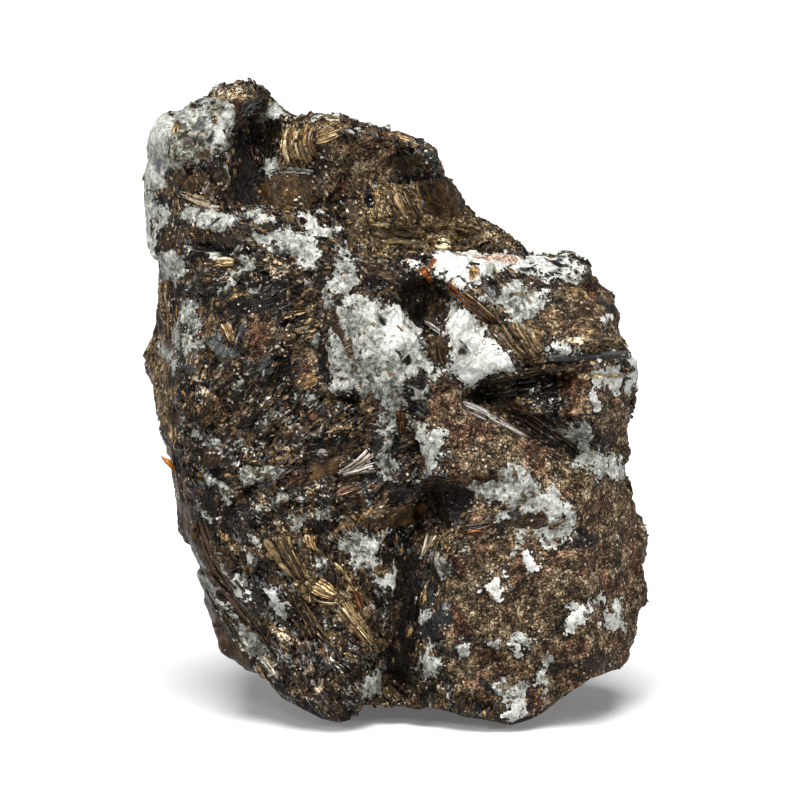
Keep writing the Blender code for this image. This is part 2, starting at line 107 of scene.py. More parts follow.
# Outlines of each mineral on the front, as x, z, x, z and so on. White to grey-green feldspar:
FELDSPAR = {
    "knob": [-38, 80, -37.6, 88, -36.6, 91.4, -33.6, 92.8, -31, 93.6, -27.6, 93.8, -25.4, 93, -24.2, 91.4, -25, 88.8,
        -24.6, 86, -26.4, 85.4, -27.6, 84, -30.6, 83.4, -33.4, 82.6, -34.6, 80.4, -36, 79.6],
    "knob's right lobe": [-20.4, 93, -18.8, 93.4, -16.6, 92, -16.2, 90.8, -18, 90.6, -19.6, 91],
    "left rim": [-38.4, 81, -36.6, 80, -36.6, 75.6, -36, 71, -35.6, 68.6, -37, 67.4, -38.4, 72],
    "upper left": [-36, 77.8, -34.4, 77.6, -34.2, 76.4, -35.6, 74, -36.4, 75.6],
    "shoulder streak": [-31.8, 76.2, -30.6, 77, -28, 77.2, -25.6, 76, -23, 75, -23.6, 74, -27, 73.6, -29.4, 74.6],
    "shoulder tip": [-23.4, 77.2, -20.6, 76.8, -19.4, 75.8, -18.2, 75.4, -18.8, 74.4, -20.4, 74.8, -21.4, 75.8],
    "shoulder lump": [-18.8, 73.2, -17, 74.4, -14.8, 73.4, -12.4, 72.2, -10.8, 71.6, -11.4, 69.6, -12.4, 67.8,
        -14.2, 68, -14.6, 70.2, -16.6, 70.2, -18.4, 71.6],
    "shoulder horn": [-21.6, 73.2, -20, 73, -18.8, 71.2, -16.8, 70.4, -18.4, 70.2, -20.4, 71.4],
    "upper lump": [-15.4, 75.6, -14.4, 76.4, -12.4, 76, -11.4, 74.6, -9, 74, -10, 73, -12, 73, -13.6, 74.4],
    "left lump": [-35.4, 70, -33.6, 71, -32, 69.4, -31.6, 67.4, -33.4, 66, -35.2, 66],
    "left patch": [-32.8, 62.2, -31, 63.4, -29.8, 62, -30, 60, -31, 59, -32.6, 60.2],
    "left patch 2": [-33, 59, -31, 57.6, -29, 57.2, -29.6, 56, -32, 55.6, -34, 54.4, -35.8, 55.4, -35.4, 56.6,
        -33.6, 56],
    "left facet": [-27, 58.8, -26, 57.2, -24.8, 56.4, -24, 54.4, -25.8, 53.6, -27.4, 55.6],
    "left speck": [-25, 68, -24.2, 67.6, -25, 64.4, -26, 64.2, -25.4, 66],
    "bluish stripe": [-8.8, 71.6, -7.6, 70.6, -6, 69.4, -5.8, 67.6, -6.6, 65.6, -7.4, 63.8, -10.4, 63.6, -11.4, 65,
        -9.6, 66.6],
    "vein": [-8.6, 63.8, -5.6, 64.2, -3.4, 63.4, -1.4, 62, -0.4, 62.6, 0.6, 61.8, 2.2, 60.2, 3.4, 57.6, 4.4, 55.2,
        5.4, 52.8, 3.6, 52.8, 2, 51.4, 1.6, 49.4, 1.2, 46.6, 0, 46, -0.2, 43.6, -0.8, 41, -1.8, 40.6, -2.8, 43.6,
        -2.2, 46, -2.2, 48.6, -5, 48.6, -8, 50, -9.4, 50.2, -10, 54, -10.4, 57.4, -9, 60],
    "vein's foot": [-3.6, 40.8, -1, 40.8, 0, 38.6, -0.6, 37, -1.8, 36.6, -3.2, 38.4],
    "right of the vein": [8.6, 62.4, 10.6, 62.2, 12.2, 60.8, 13.6, 59, 14, 57.6, 16, 55.8, 17.8, 54.2, 17.6, 52.8,
        14, 52, 11.4, 50.6, 10, 50.8, 8.4, 52.6, 5.4, 51, 4.6, 52.2, 8.2, 54, 8.2, 57.4, 7, 59.2, 8.2, 61],
    "by the shard": [2.4, 48.2, 4.8, 48.4, 4.8, 51.4, 3.6, 51.8, 2.4, 50],
    "ledge": [5.2, 68.2, 6, 70, 8.6, 70.8, 12, 70.8, 16, 70.4, 20, 70, 24, 69.8, 27.6, 69.2, 28.6, 67.6, 26.4, 66,
        22, 65.8, 19.6, 67.2, 14, 67.6, 11.4, 65.8, 9.4, 65, 7.2, 66.2],
    "ledge's tip": [1.6, 69, 3.2, 69.6, 3.6, 68.8, 2.2, 68.2],
    "under the ledge": [12.6, 63.6, 15, 64.8, 17.4, 66.4, 20, 65.2, 22.6, 64.8, 21.8, 62, 21.4, 60.2, 19, 59.8,
        17, 60.4, 15.6, 61.8, 14.4, 62.6],
    "over the prism": [23, 55.2, 27.6, 55.4, 26, 56.2, 24, 56.8, 23.2, 56],
    "below the prism": [29.6, 53, 31, 53.4, 34, 53.2, 34.2, 51, 33.4, 49.4, 31, 50.4, 30, 51],
    "prism's end": [34.6, 56.6, 36.6, 55, 37.4, 53, 36, 50.6, 34.4, 49.4, 34.6, 52.6],
    "stem of the vein": [2, 45, 4, 44.6, 5, 43.6, 7.4, 43.6, 8.4, 44, 7, 42.4, 6.6, 41, 7.6, 40.2, 6.2, 39.8,
        5.6, 37.2, 4.6, 36.6, 4.2, 40, 3, 43],
    "middle right": [11.2, 35.3, 12.9, 36.1, 14, 36.2, 15.8, 37.4, 16.4, 38.8, 17.5, 39.5, 18.6, 39.4, 19.6, 38.4,
        20.1, 36.6, 21.3, 35.6, 22.4, 34.4, 23.4, 36.4, 24.2, 35.6, 25.6, 33.2, 26.2, 31, 26.8, 28.9, 25.6, 27.6,
        24.4, 28.4, 23, 26.8, 22.2, 28, 20.8, 27.6, 18.8, 26.4, 17.5, 25.1, 17.1, 27.2, 17.6, 28.6, 19.6, 28.9,
        22.2, 29.8, 23.4, 31.2, 20.5, 31.5, 17.9, 31.9, 16.4, 30.4, 15.4, 29.6, 14.7, 31, 16.2, 32.8, 14.5, 34,
        13, 33, 11.6, 32.8],
    "star 1": [19, 25.6, 20.4, 25.2, 21.6, 24, 21.2, 23.1, 20.2, 22.8, 19.6, 22, 19.4, 23.4, 18.8, 24.4],
    "star 2": [12, 20.5, 14, 20.9, 15, 22.4, 15.9, 21.6, 16.7, 19.8, 15.8, 19.6, 15.4, 18, 14.4, 18.6, 13.6, 20],
    "right edge": [24, 44.2, 26, 44.4, 28.6, 44.6, 29.4, 42.6, 30.8, 40.6, 34, 39.6, 34.2, 37, 33, 35.8, 31, 37,
        29, 38, 26.8, 38.6, 27, 41.4, 25.4, 42.4],
    "small, right 3": [26, 18.8, 28, 17.7, 29.4, 17.9, 28.6, 16.4, 27.6, 15, 26.4, 13.8, 25.4, 14.6, 26, 16],
    "small, right 4": [31.1, 15, 32.2, 17.4, 33.4, 17.9, 33.9, 14.6, 34.7, 12.8, 33.2, 13.8],
    "small, right 4b": [30.8, 18.6, 31.4, 19, 31.9, 18.2, 31, 17.8],
    "small, right 5": [14, 12.2, 17.2, 12, 18.4, 13.6, 20, 12.6, 21.4, 12.4, 19.6, 11.4, 18.4, 10.2, 17.6, 11.2,
        15, 11.4],
    "right foot": [14.2, 5, 16, 5.4, 18, 6.8, 19, 5.6, 19.3, 4.2, 17.6, 2.8, 16.2, 3.2, 15, 4.2],
    "right foot's sole": [17.4, 3.8, 19, 3.4, 19.2, 1.6, 18, 0.2, 17, 0.6, 15.6, 0.6, 16.8, 2],
    "right foot's edge": [21, 7, 22, 8.4, 22.6, 9.6, 23.3, 7, 23.5, 5, 22.4, 4.2, 21.4, 5.6],
    "between the feet": [3.4, 8, 4, 10, 4.6, 12.2, 5.6, 11, 6.4, 10, 6.9, 8.4, 6, 7.2, 4, 6.8],
    "left foot": [-6, 4.2, -4.4, 6.6, -2.6, 7.2, -1.8, 5, -3, 3.8, -5, 3.5],
    "left of the valley": [-8.4, 26.2, -6.2, 28.2, -4, 27.8, -1, 28.8, -1.8, 27, -3, 25.4, -3.2, 23, -5.6, 23,
        -6.8, 24.6],
    "left of the valley 2": [-3.2, 21, -2, 22.6, -0.4, 23.2, 0, 20.2, -1.4, 19.6],
    "in the valley": [5, 24.6, 6, 25.8, 7.4, 25, 8.4, 22.4, 7.4, 21.6, 6, 23],
    "mid left 1": [-30.4, 43.2, -28.6, 43.8, -27, 42.4, -26.2, 40.6, -27.6, 41.2, -29.4, 42.4],
    "mid left 2": [-25.6, 48.6, -22.4, 48.8, -20.6, 49, -21.4, 47.8, -24.6, 47.4],
    "mid left 3": [-21.8, 37.8, -17.2, 38.4, -16.4, 37.8, -18.6, 36.6, -21, 36.8],
    "mid left 4": [-20.6, 44.6, -18.6, 46.6, -18, 46.2, -19, 43.6, -20.4, 42.8],
    "mid left 5": [-23.6, 37.2, -22.8, 38, -21.4, 37.2, -20.6, 36.2, -22.4, 36],
    "lower left band": [-29.6, 38, -27.8, 36.6, -26, 36, -24.8, 34.4, -25.4, 32.4, -26.2, 33.8, -27.6, 35.4,
        -29, 36.8],
    "lower left band 2": [-30.2, 34, -29.4, 33, -28, 30.2, -28.8, 30, -29.8, 31.6],
    "middle band": [-16, 30.6, -14, 31.2, -11.4, 32, -11, 30.6, -13.6, 30.2, -15.4, 29.4],
    "lower left, outer": [-26.2, 23, -25, 21.8, -23.6, 22.2, -22, 21.4, -22.4, 20, -21.8, 18.2, -23.6, 18.8, -25, 20,
        -26, 21.2],
    "lower left, inner": [-20.6, 20.8, -19, 20.2, -17.4, 19, -16.6, 17.4, -15.9, 16.2, -16.8, 15.4, -18.2, 16.8,
        -19.6, 18.8],
    "grey lens": [-24.9, 16.6, -23.6, 15.4, -20.6, 13, -18.9, 11, -20.4, 9.2, -21.8, 10.2, -23.4, 12, -24.6, 14.6],
    "narrow vein": [-30.8, 26, -29.6, 25.4, -29.2, 22.6, -27, 19.4, -24.8, 16.8, -25.4, 16.4, -28, 18.6, -30, 21.6],
    "narrow vein 2": [-20.8, 9.8, -19.6, 9.8, -17.6, 7.4, -17.8, 6, -19, 7.4],
}
# Brown rock of sugar-like grains.
GRANULAR = {
    "lower right block": [3, 44, 9, 50.6, 12, 47, 20, 43, 27, 39.6, 34.6, 36, 38, 28, 38.6, 14, 36.6, 8, 27, 3.6,
        20, 0.6, 8, 6, 6.4, 16, 8, 24, 12, 30.6, 7.4, 36, 8.2, 41],
    "upper right": [22, 65, 29, 67.4, 33.4, 62, 34.6, 57, 24, 56.8, 20.6, 60.6],
    "below the prism": [24.4, 53.4, 34.6, 53.8, 35, 49, 35.4, 41, 30, 44.6, 25, 46.6],
    "above the vein's right": [4, 51.6, 12, 50.6, 11, 47, 4.6, 45],
    "top band": [-13, 81.4, -8, 84, -4.4, 89.4, 0, 88.4, -0.8, 83, -5, 80.4, -10, 79.8],
    "in the vein": [-10, 60.6, -7.2, 61.8, -5.6, 56, -6.8, 52.8, -8.8, 56],
    "left clump": [-23, 60, -20, 61.2, -17.4, 58, -18, 55.4, -21.6, 54.8, -23.6, 57.4],
    "left clump 2": [-15.4, 56.4, -12, 56.6, -11.6, 51.6, -15, 50.6],
    "crest": [-29, 91.4, -24, 91.6, -20, 90, -19, 94, -24, 95, -27.4, 93.6],
    "over the right foot": [7.6, 9.6, 13, 9.8, 14.4, 5, 9, 4.4],
}
# Smoky to black crystal. In the recess, the pit, the valley and the wedge its dark colour is also painted shade, for
# the shade in those hollows.
SMOKY_AND_PAINTED_SHADE = {
    "recess": [-25.4, 77.4, -19.8, 77.6, -18.6, 82.4, -18.8, 88, -20, 89.6, -23.6, 89, -24.6, 83],
    "pit": [-0.6, 66.6, 3, 67.2, 6.6, 66, 8.8, 62.6, 8.4, 61, 6.8, 59.6, 4, 58, 2, 60.6, 0.4, 62],
    "shard": [0.9, 55, 2.6, 55.2, 3.5, 52.6, 2.6, 50.4, 1.8, 52.6],
    "valley": [-1.6, 25, 1, 25.8, 3.6, 24.4, 3.4, 18, 8.6, 17, 9, 13.4, 5, 13, 2.6, 8, 2, 3.8, -1.6, 7.6, -1.4, 16],
    "dark corner": [4, 36.4, 9, 36.6, 11, 34.4, 11.4, 31, 7, 29.6, 5.6, 31],
    "wedge, upper arm": [10.8, 48.6, 12, 50.2, 15, 50.6, 24.2, 52.8, 24.4, 49.2, 22, 48.6, 18.6, 48.2, 14, 48.2],
    "wedge, lower arm": [13.6, 47.8, 18.2, 48, 20.8, 45.6, 24.2, 42.6, 28, 41, 24, 40.2, 22.4, 40.8, 19.6, 43.2,
        17.2, 45],
    "middle left": [-29, 65.4, -22, 66, -17, 63, -20, 61, -27, 62],
    "middle left 2": [-19, 52, -10.6, 56, -10, 51, -17, 50],
    "middle left 3": [-24, 46.6, -20.4, 48, -19, 45.4, -23, 44.6],
    "left, low": [-30.4, 41.6, -27, 41, -25.6, 38.4, -29, 38.8],
    "left, lower": [-28, 36, -26.4, 35, -26, 30, -21, 31.8, -22, 29.4, -29, 28.6, -30, 34],
    "lower left lump": [-22.6, 20.8, -20.8, 20.6, -19.4, 18.6, -17.6, 16.6, -20, 16.4, -21.8, 18],
    "left of the vein": [-12, 59.6, -10.6, 57.6, -10.2, 52, -12.6, 53],
    "black dot": [-10, 64, -8.6, 63.8, -8.8, 62.2, -10, 62.6],
    "by the stripe": [-7, 66.8, -3, 68, -1, 66.6, -3.6, 65, -6, 65.2],
    "prism": [22.8, 54.9, 34.6, 55.8, 34.4, 54.1, 23, 54],
    "right, middle": [26, 28, 30, 28, 30.4, 25.4, 27, 24.6],
}
# Amber-brown smooth crystal.
AMBER = {
    "block": [-20, 81.9, -12.4, 82, -12.4, 77.4, -20, 77.2],
    "pit's foot": [4.4, 57.8, 6.8, 58.6, 8, 57, 8.1, 53.4, 5.4, 52.8],
    "under the wedge": [14.6, 47.8, 18.4, 48, 21, 45.4, 18, 44.8],
    "right of the left foot": [-10.6, 23.6, -8, 23.4, -7.6, 20.6, -10, 20.4],
    "lower flank": [-34.6, 42, -32.4, 40, -31, 32, -28, 24, -22, 15, -19.6, 9.6, -22, 7, -25, 9, -28, 15, -31, 24],
    "upper plane": [3.6, 81.3, 8, 81.6, 11, 76.8, 7.4, 75.2, 4.2, 76.2],
    "by the silver bundle": [-13, 39.6, -9, 39, -8.6, 37, -12.6, 36.2],
    "over the valley": [-4.6, 32, 4, 32.4, 4.6, 30, -1, 28.8, -5, 29.6],
}
# Bronze astrophyllite seen on its cleavage.
BRONZE = {
    "top fan": [-17.6, 90.4, -6, 90.4, -7.6, 87.6, -11.4, 84, -17.8, 83.4],
    "upper plane": [-5.4, 81.2, 7.6, 81.8, 11, 76.4, 19, 71.4, 6, 70.4, -6, 70.2, -7.6, 76.6],
    "under the ledge": [13, 59.6, 21, 60.2, 22.8, 56.4, 20, 53.6, 15.6, 56, 13.6, 58],
    "under the ledge's tip": [10, 64.4, 14.6, 63, 15.6, 60.6, 12.8, 60.8],
    "brow": [12, 51.8, 24, 54, 24, 53, 14, 50.6],
    "upper lower-left": [-21, 28.6, -15, 28.6, -12, 23, -15, 20, -17, 22.6, -21.6, 26],
    "lower left": [-14, 21.6, -9, 22.6, -4.4, 20, -2.4, 12, -3.6, 10, -9.4, 16, -13.4, 18.6],
    "left flank": [-38, 66, -35.4, 66, -33.8, 58, -34.4, 50, -33, 44, -36, 44],
    "valley's fan": [3.2, 25, 4.6, 28.6, 7.4, 28.4, 6, 25.8],
    "over the prism": [27.4, 55.6, 27.8, 57.4, 31, 58.8, 34.4, 56.6, 34, 55.9],
}
# Single lumps and chips as ovals: x, z, half the length and width, and the length's slope in degrees if it has one.
FELDSPAR_CHIPS = [
    (-34.8, 75.2, 0.9, 0.7, 60), (-31.6, 61, 1.3, 0.8, 20), (-30.2, 59.4, 0.8, 0.5), (-33, 58, 1.5, 0.6, 90),
    (-33, 53.4, 1, 0.8, 60), (-23.4, 50.7, 0.7, 0.5, 60), (-15, 48.8, 0.9, 0.4), (-12.9, 48.7, 0.7, 0.5),
    (-12, 43.2, 1.4, 0.5, 10), (-22.4, 37, 1.3, 0.5, -20), (-11.9, 57.6, 0.9, 0.7, 60), (-11.4, 31.4, 0.8, 0.6),
    (-22.6, 25.6, 1.7, 0.35, -30), (-11, 24, 0.9, 0.5, 70), (-16.8, 9.6, 0.7, 0.5), (-1.8, 15.4, 1, 0.3, 90),
    (-26.2, 88.2, 1, 0.9), (-19, 92, 1.6, 0.8, -50), (-21, 42.3, 2.6, 0.18), (-28.6, 70.6, 2, 0.25, -8),
    (-22.6, 69.2, 1.6, 0.5, -40), (-9.2, 62.9, 1.2, 0.5), (-17.5, 33, 1.4, 0.5, 20), (-19.4, 31.8, 1.3, 0.4, 10),
    (-32.4, 45, 0.4, 0.7), (29.6, 48.2, 1.5, 0.3, -60), (-6.4, 88.3, 0.9, 0.6), (-9.6, 90.6, 3.2, 0.35, 2),
    (-19, 83.4, 1.4, 0.6, 70), (-21, 27, 0.9, 0.8, 60), (24.2, 48.2, 0.5, 0.3), (21, 49.8, 0.6, 0.25, 30),
    (9, 26, 0.8, 0.5, 20), (-7.8, 30.6, 0.5, 0.3), (-10.5, 13.9, 0.7, 0.5), (4.6, 16.4, 1, 0.4, 60),
    (31.4, 60.4, 0.8, 0.4, 40), (-4.6, 5, 1, 0.6, 20), (9.8, 10.8, 1.2, 0.6, 20), (-23.2, 70.8, 0.9, 0.3, 60),
]
SUGAR_LUMPS = [
    (-20, 58.6, 2.3, 1.9), (-14.2, 55, 1.3, 1.1, 90), (-12, 62.8, 1.2, 1), (-9, 60.3, 1.9, 1.1, -35),
    (-7.4, 57.4, 2.3, 1, 105), (-6.2, 54.8, 1.1, 0.7, 60), (-30.6, 55.2, 1.4, 1.1), (-21.2, 93.6, 2, 1.1),
    (15.8, 69.3, 3.2, 0.7, 2), (-10, 81, 2.4, 1.6, 60), (-8, 86, 2.6, 1.4, 160), (-4, 88.6, 2.6, 0.8, -10),
]
# Chips of other kinds, as such ovals.
CLASTS = {
    "black": [(-22, 62.6, 4.2, 1.3, 5), (-10.9, 53.4, 3.2, 0.8, 100), (-8.6, 62.9, 0.7, 0.6), (-27.4, 34.6, 1.2, 1),
        (-24.6, 31.6, 3, 1, 25), (-10.8, 29.3, 1.4, 1), (-20.3, 19.2, 1.8, 0.9, -50), (-27.7, 87.6, 0.3, 1, -20),
        (-33.8, 82.2, 0.8, 1), (-22.4, 79.4, 2.5, 2), (-23.4, 86.2, 1.8, 2.6), (-27.6, 71.6, 3.2, 1.3, -4),
        (-27.2, 75.1, 0.8, 0.25, 30), (1, 34.6, 2.8, 1, 8), (24.6, 68.3, 2.4, 0.3, -12), (19.6, 67.8, 1.6, 0.3, 6),
        (9.8, 66.3, 1, 0.25, -35), (22.6, 67.2, 2.6, 0.4, -8), (23.8, 39.3, 0.9, 0.6), (28.2, 27.4, 2, 1.8),
        (9.6, 33.2, 2.6, 2.2), (2.6, 47, 0.8, 1.2), (1.6, 54, 1.1, 0.7, 90), (3.4, 51, 1.4, 1),
        (13.4, 5.6, 2.6, 0.5, -50), (14, 48.9, 3.6, 0.8), (22.4, 42.8, 2, 0.8, -55), (6.6, 12.4, 1.1, 0.4, 20),
        (3, 20.6, 1.4, 0.4, 100), (3.6, 81.7, 4.6, 0.5, 3), (-4, 79, 0.5, 2, 8), (21.6, 66.6, 1.8, 0.3, 5),
        (18, 66.7, 1.5, 0.25, 20), (25.2, 67, 1.5, 0.28, -32), (-29.6, 92.8, 1.1, 0.35, -40),
        (11, 68.6, 1.4, 0.2, 60), (20.6, 68.4, 1.8, 0.2, -30), (17.4, 68.3, 1.5, 0.2, 15), (24.6, 69, 1.3, 0.2, 30),
        (13.4, 66.3, 0.9, 0.25, -40), (-31.4, 88.4, 0.5, 0.3, 30), (-28.8, 87.5, 0.5, 0.3, -30),
        (-26.6, 86.3, 0.5, 0.3, 10), (-30, 84.4, 0.9, 0.25, 5), (-27.4, 92.6, 0.5, 0.3, 20)],
    "brown": [(-33, 73.4, 2, 1.4), (-27, 72.4, 4, 1.1, -5), (-36, 60, 2.2, 1.2, 95), (-16.6, 57, 1.1, 0.8, 30),
        (-33.2, 45.6, 1.4, 0.8, 100), (-16.5, 43.4, 1.3, 1), (-27.5, 39.5, 1.9, 1.3, -20), (-8, 36.6, 2.2, 0.7, 10),
        (-7, 32.6, 2.2, 1.2, 20), (-13.4, 32.3, 0.9, 0.9), (-26, 25.4, 2.4, 0.7, -50), (-9.2, 22.3, 1.4, 0.9, 100),
        (-24.4, 23.2, 1.3, 0.9), (-18.6, 22.6, 1.8, 0.9, -50), (-12.4, 14, 1.3, 1, -50), (-3.2, 14.8, 1.2, 1),
        (-33.8, 90.8, 1.3, 0.3, -22), (-30.3, 91.9, 0.7, 0.7), (-26.2, 91.9, 0.7, 0.4, 10), (-28.2, 93.9, 1, 0.5, 40),
        (-22.6, 90.2, 1.8, 1.3, 20), (-32, 87.9, 1.4, 0.35, 24), (-30.6, 86.9, 1, 0.6, 14), (-28.6, 85, 1, 0.6, -30),
        (-31.8, 84.2, 1.2, 0.3, -8), (-27.6, 81.4, 1.8, 1.1, -15), (-25.9, 79.6, 1.4, 0.8, -20),
        (-17.6, 79.3, 1.8, 1.9), (-18.6, 86.6, 1, 1.9), (-34, 72.4, 1.8, 1.9, 30), (28.3, 62.2, 1.5, 1.4),
        (20, 30, 3.4, 1.2, 5), (30, 9, 3, 1.6, 20), (0.4, 21, 2.8, 0.6, 96), (26.6, 67.6, 1.2, 0.35, -30),
        (-8.8, 59.4, 2.7, 0.85, 112), (-27, 90.2, 0.6, 0.9, 20), (-24.9, 87, 0.5, 1.1, 10), (-32.8, 90, 0.4, 0.4)],
    "amber": [(-31, 81.2, 3, 0.9), (-15, 79, 2.3, 2), (1.1, 44.8, 1.5, 0.9, 90), (19.6, 45.6, 2.4, 0.9, -40),
        (-0.3, 15.4, 2, 0.5, 86)],
    "gold": [(-34.6, 65.4, 1.1, 0.8, 60), (-26, 68.9, 1.4, 0.7), (-24.2, 64.5, 1.6, 0.5),
        (-25.4, 58.6, 1.4, 0.9, 100), (-27.6, 55, 0.7, 0.6), (-36, 51.6, 1.6, 0.9, 95), (-13.4, 51, 1.9, 1.1, 20),
        (-34.4, 49, 1.4, 0.9, 40), (-27.6, 47.4, 1.8, 1.2, 30), (-27.6, 44.7, 1.3, 0.5, -40),
        (-31, 39.4, 1.3, 0.8, 100), (-21.3, 35, 0.7, 0.4, 60), (-7.6, 29.7, 1, 0.7), (-3, 31.4, 2.8, 1.1, 10),
        (-24.8, 27, 1.9, 0.5, -30), (-13.2, 27.2, 1.2, 0.8, 60), (-22.2, 22.7, 0.7, 0.4, 20),
        (-19, 15.3, 1.3, 0.8, -50), (-2.3, 22.7, 1, 0.9), (-4, 12.6, 1.5, 0.4, 120), (-34, 84.9, 1.2, 0.3, 10),
        (-34.4, 79.6, 1.4, 0.6, 10), (-30, 78.2, 2, 0.6, -25), (29, 58.6, 2, 0.5, -4), (11.6, 67.5, 0.8, 1.4),
        (7, 71.6, 1.2, 0.9), (27, 64.8, 2.4, 0.7, -20), (34.6, 38.8, 0.5, 1), (1.9, 14.4, 1.6, 0.3, 92),
        (1.4, 88, 1.4, 0.7, -20), (-2.9, 78.6, 0.4, 1.9, 6), (8.6, 66.4, 0.9, 0.35, 30), (15, 66.9, 1.1, 0.3, 110),
        (-33, 89.2, 0.8, 0.5, 60)],
    "tan": [(-14.8, 66.6, 0.9, 0.7, -20), (-13, 65.2, 1.6, 0.6, 25), (-31.6, 66.2, 1.2, 0.5), (-14, 59.2, 1.5, 1, 30),
        (-26.2, 52, 1.5, 1, 20), (-21.5, 50.6, 0.9, 0.6), (-22.6, 46.8, 1.2, 0.8), (-19.4, 47.6, 1, 0.6, 20),
        (-33.2, 36, 3.2, 0.5, 98), (-17, 39.3, 3.2, 1.1, 5), (-22.6, 33.5, 1.9, 0.4, 25),
        (-27.8, 27.2, 1.2, 0.9, -50), (-32.6, 86.2, 1.5, 0.35, -12), (-25.4, 84.4, 0.8, 0.7), (25, 58.4, 1.4, 0.5),
        (33.6, 28, 2, 1, 90), (23, 69.7, 1.9, 0.22, -8), (-7.1, 56.2, 2, 0.8, 104), (9.6, 70, 1.3, 0.22, -20)],
    "red": [(-8.1, 51.6, 0.8, 0.4), (-12.8, 45.7, 0.5, 0.3, 30), (-14.9, 36.8, 1, 0.6, 50), (-18.3, 28.3, 0.8, 0.3),
        (9.8, 55.5, 0.8, 0.6), (24.4, 29.8, 1.5, 0.4, 25), (12.2, 28.5, 2.2, 0.4, 10), (36, 24, 2.6, 0.8, 95),
        (-8.3, 53.3, 1.5, 0.45, 40)],
    "slate": [(-29, 68, 0.8, 0.7), (-23, 59, 0.9, 0.8), (-31, 53, 1.4, 0.6), (-19.5, 53.6, 1.4, 1, 60),
        (-20, 35.3, 1.1, 0.7, 20), (-3.4, 35.6, 1.6, 0.6, 10), (20, 64.4, 1.2, 0.4, 40), (17.8, 31.2, 0.9, 0.5),
        (-2.2, 60.2, 0.9, 0.4, -60)],
    "umber": [(-6.6, 74.6, 3.8, 1.3, 100), (1.6, 83.8, 3.2, 1.2, 8)],
    "olive": [(-1.5, 73, 4.2, 1.6, -12)],
    "rust": [(5.4, 68.6, 0.9, 0.5, 50), (9, 64.5, 1.7, 0.5, -42), (4.4, 67.3, 1.1, 0.35, -50)],
    "smoke": [(-31, 63.2, 1.6, 0.6, 10), (-24.6, 55.6, 1.3, 0.8, 20), (-26.7, 56.6, 1.8, 1, 100),
        (-29.4, 35.6, 1, 0.4, 30), (-14.3, 34.4, 2.2, 0.25, 92), (-29.8, 89.6, 1.7, 0.7, 35),
        (14.3, 64.4, 1.4, 0.8, 110), (7.4, 17.4, 1.2, 0.5, 30), (-35.4, 83.6, 0.5, 1.6, -10)],
    # These clasts stand for glinting spots: gold, with white specks painted on as glints.
    "glitter": [(-18, 68.6, 2, 1.3, -40), (-21.2, 67.2, 0.9, 0.5), (-30, 51.4, 1.5, 0.4, 15),
        (-16.6, 51.4, 1, 0.5, -20), (-29.6, 49.8, 1.4, 0.3, 160), (-20, 41.6, 0.9, 0.5), (-17, 41, 1.6, 0.5, 5),
        (-12.6, 35.2, 1.4, 0.6, 10), (-17.5, 14, 0.9, 0.4), (-15.3, 11.8, 0.9, 0.5, 10), (-17, 12.6, 0.9, 0.3, -30),
        (-18.8, 8.8, 1.9, 0.5, -50), (-25.4, 94.3, 2.4, 1.1), (-16.4, 90.2, 1.8, 0.5, 20), (13, 72.3, 1.1, 0.8, 60)],
    # Pale chips: some are pale gold-cream, some are painted glints.
    "cream": [(-17.6, 29.4, 1.4, 0.2, -25), (-13.1, 7.8, 0.8, 0.25, 30), (-11.6, 5.4, 0.9, 0.35, 40),
        (30.4, 52, 3.8, 0.4, 2), (27, 57.4, 2.6, 0.7), (31.4, 53.7, 2.4, 0.3, 2)],
    "peach": [(15.6, 69.5, 4, 0.6, -3)],
    "ink": [(31.6, 62.4, 2, 0.5, -45), (6.6, 15, 2.6, 1.6, 60), (5, 18.6, 1.6, 0.7, 70), (4.2, 13.6, 1.5, 0.5, 80),
        (2.4, 9.6, 1.2, 0.35, 60), (5.4, 84.4, 2.2, 1.1, -52), (2.6, 86.8, 1.6, 0.8, -30)],
}
# Each kind's colour, and how broken its face is: 0 is smooth, 1 is all flakes.
CLAST_TONES = {
    "black": (20, 15, 11, 0.25), "brown": (62, 45, 27, 0.4), "amber": (80, 58, 32, 0.3), "gold": (146, 116, 76, 0.9),
    "tan": (124, 104, 80, 0.9), "red": (104, 64, 40, 0.4), "slate": (70, 74, 74, 0.15), "umber": (98, 80, 56, 0.3),
    "olive": (106, 88, 56, 0.35), "rust": (178, 96, 38, 0.5), "smoke": (132, 134, 134, 0.4),
    "glitter": (150, 120, 80, 1), "cream": (214, 192, 154, 0.6), "peach": (232, 190, 168, 0.7),
    "ink": (46, 51, 49, 0.25),
}
# Which way the blades lie: at (x, z) this many degrees up from +x.
LIE = [
    (-35, 75, 88), (-35, 60, 92), (-35, 48, 96), (-33, 36, 104), (-30, 26, 112), (-25, 16, 122), (-20, 9, 124),
    (-22, 27, 130), (-15, 20, 126), (-8, 14, 120), (-10, 6, 125), (-14, 30, 115), (-24, 36, 35), (-14, 36, 20),
    (-6, 38, 25), (-22, 46, 40), (-14, 52, 38), (-28, 58, 70), (-20, 62, 30), (-12, 60, 40), (-26, 72, 165),
    (-16, 70, 150), (-30, 86, 60), (-22, 84, 80), (-13, 86, 110), (-4, 86, 150), (2, 77, 115), (10, 74, 20),
    (-4, 70, 140), (4, 62, 120), (12, 63, 125), (18, 57, 118), (26, 55, 8), (20, 51, 14), (22, 44, 148),
    (12, 45, 155), (30, 62, 150), (2, 20, 90), (4, 8, 92), (14, 30, 20), (20, 16, 35), (30, 22, 100), (34, 40, 95),
]
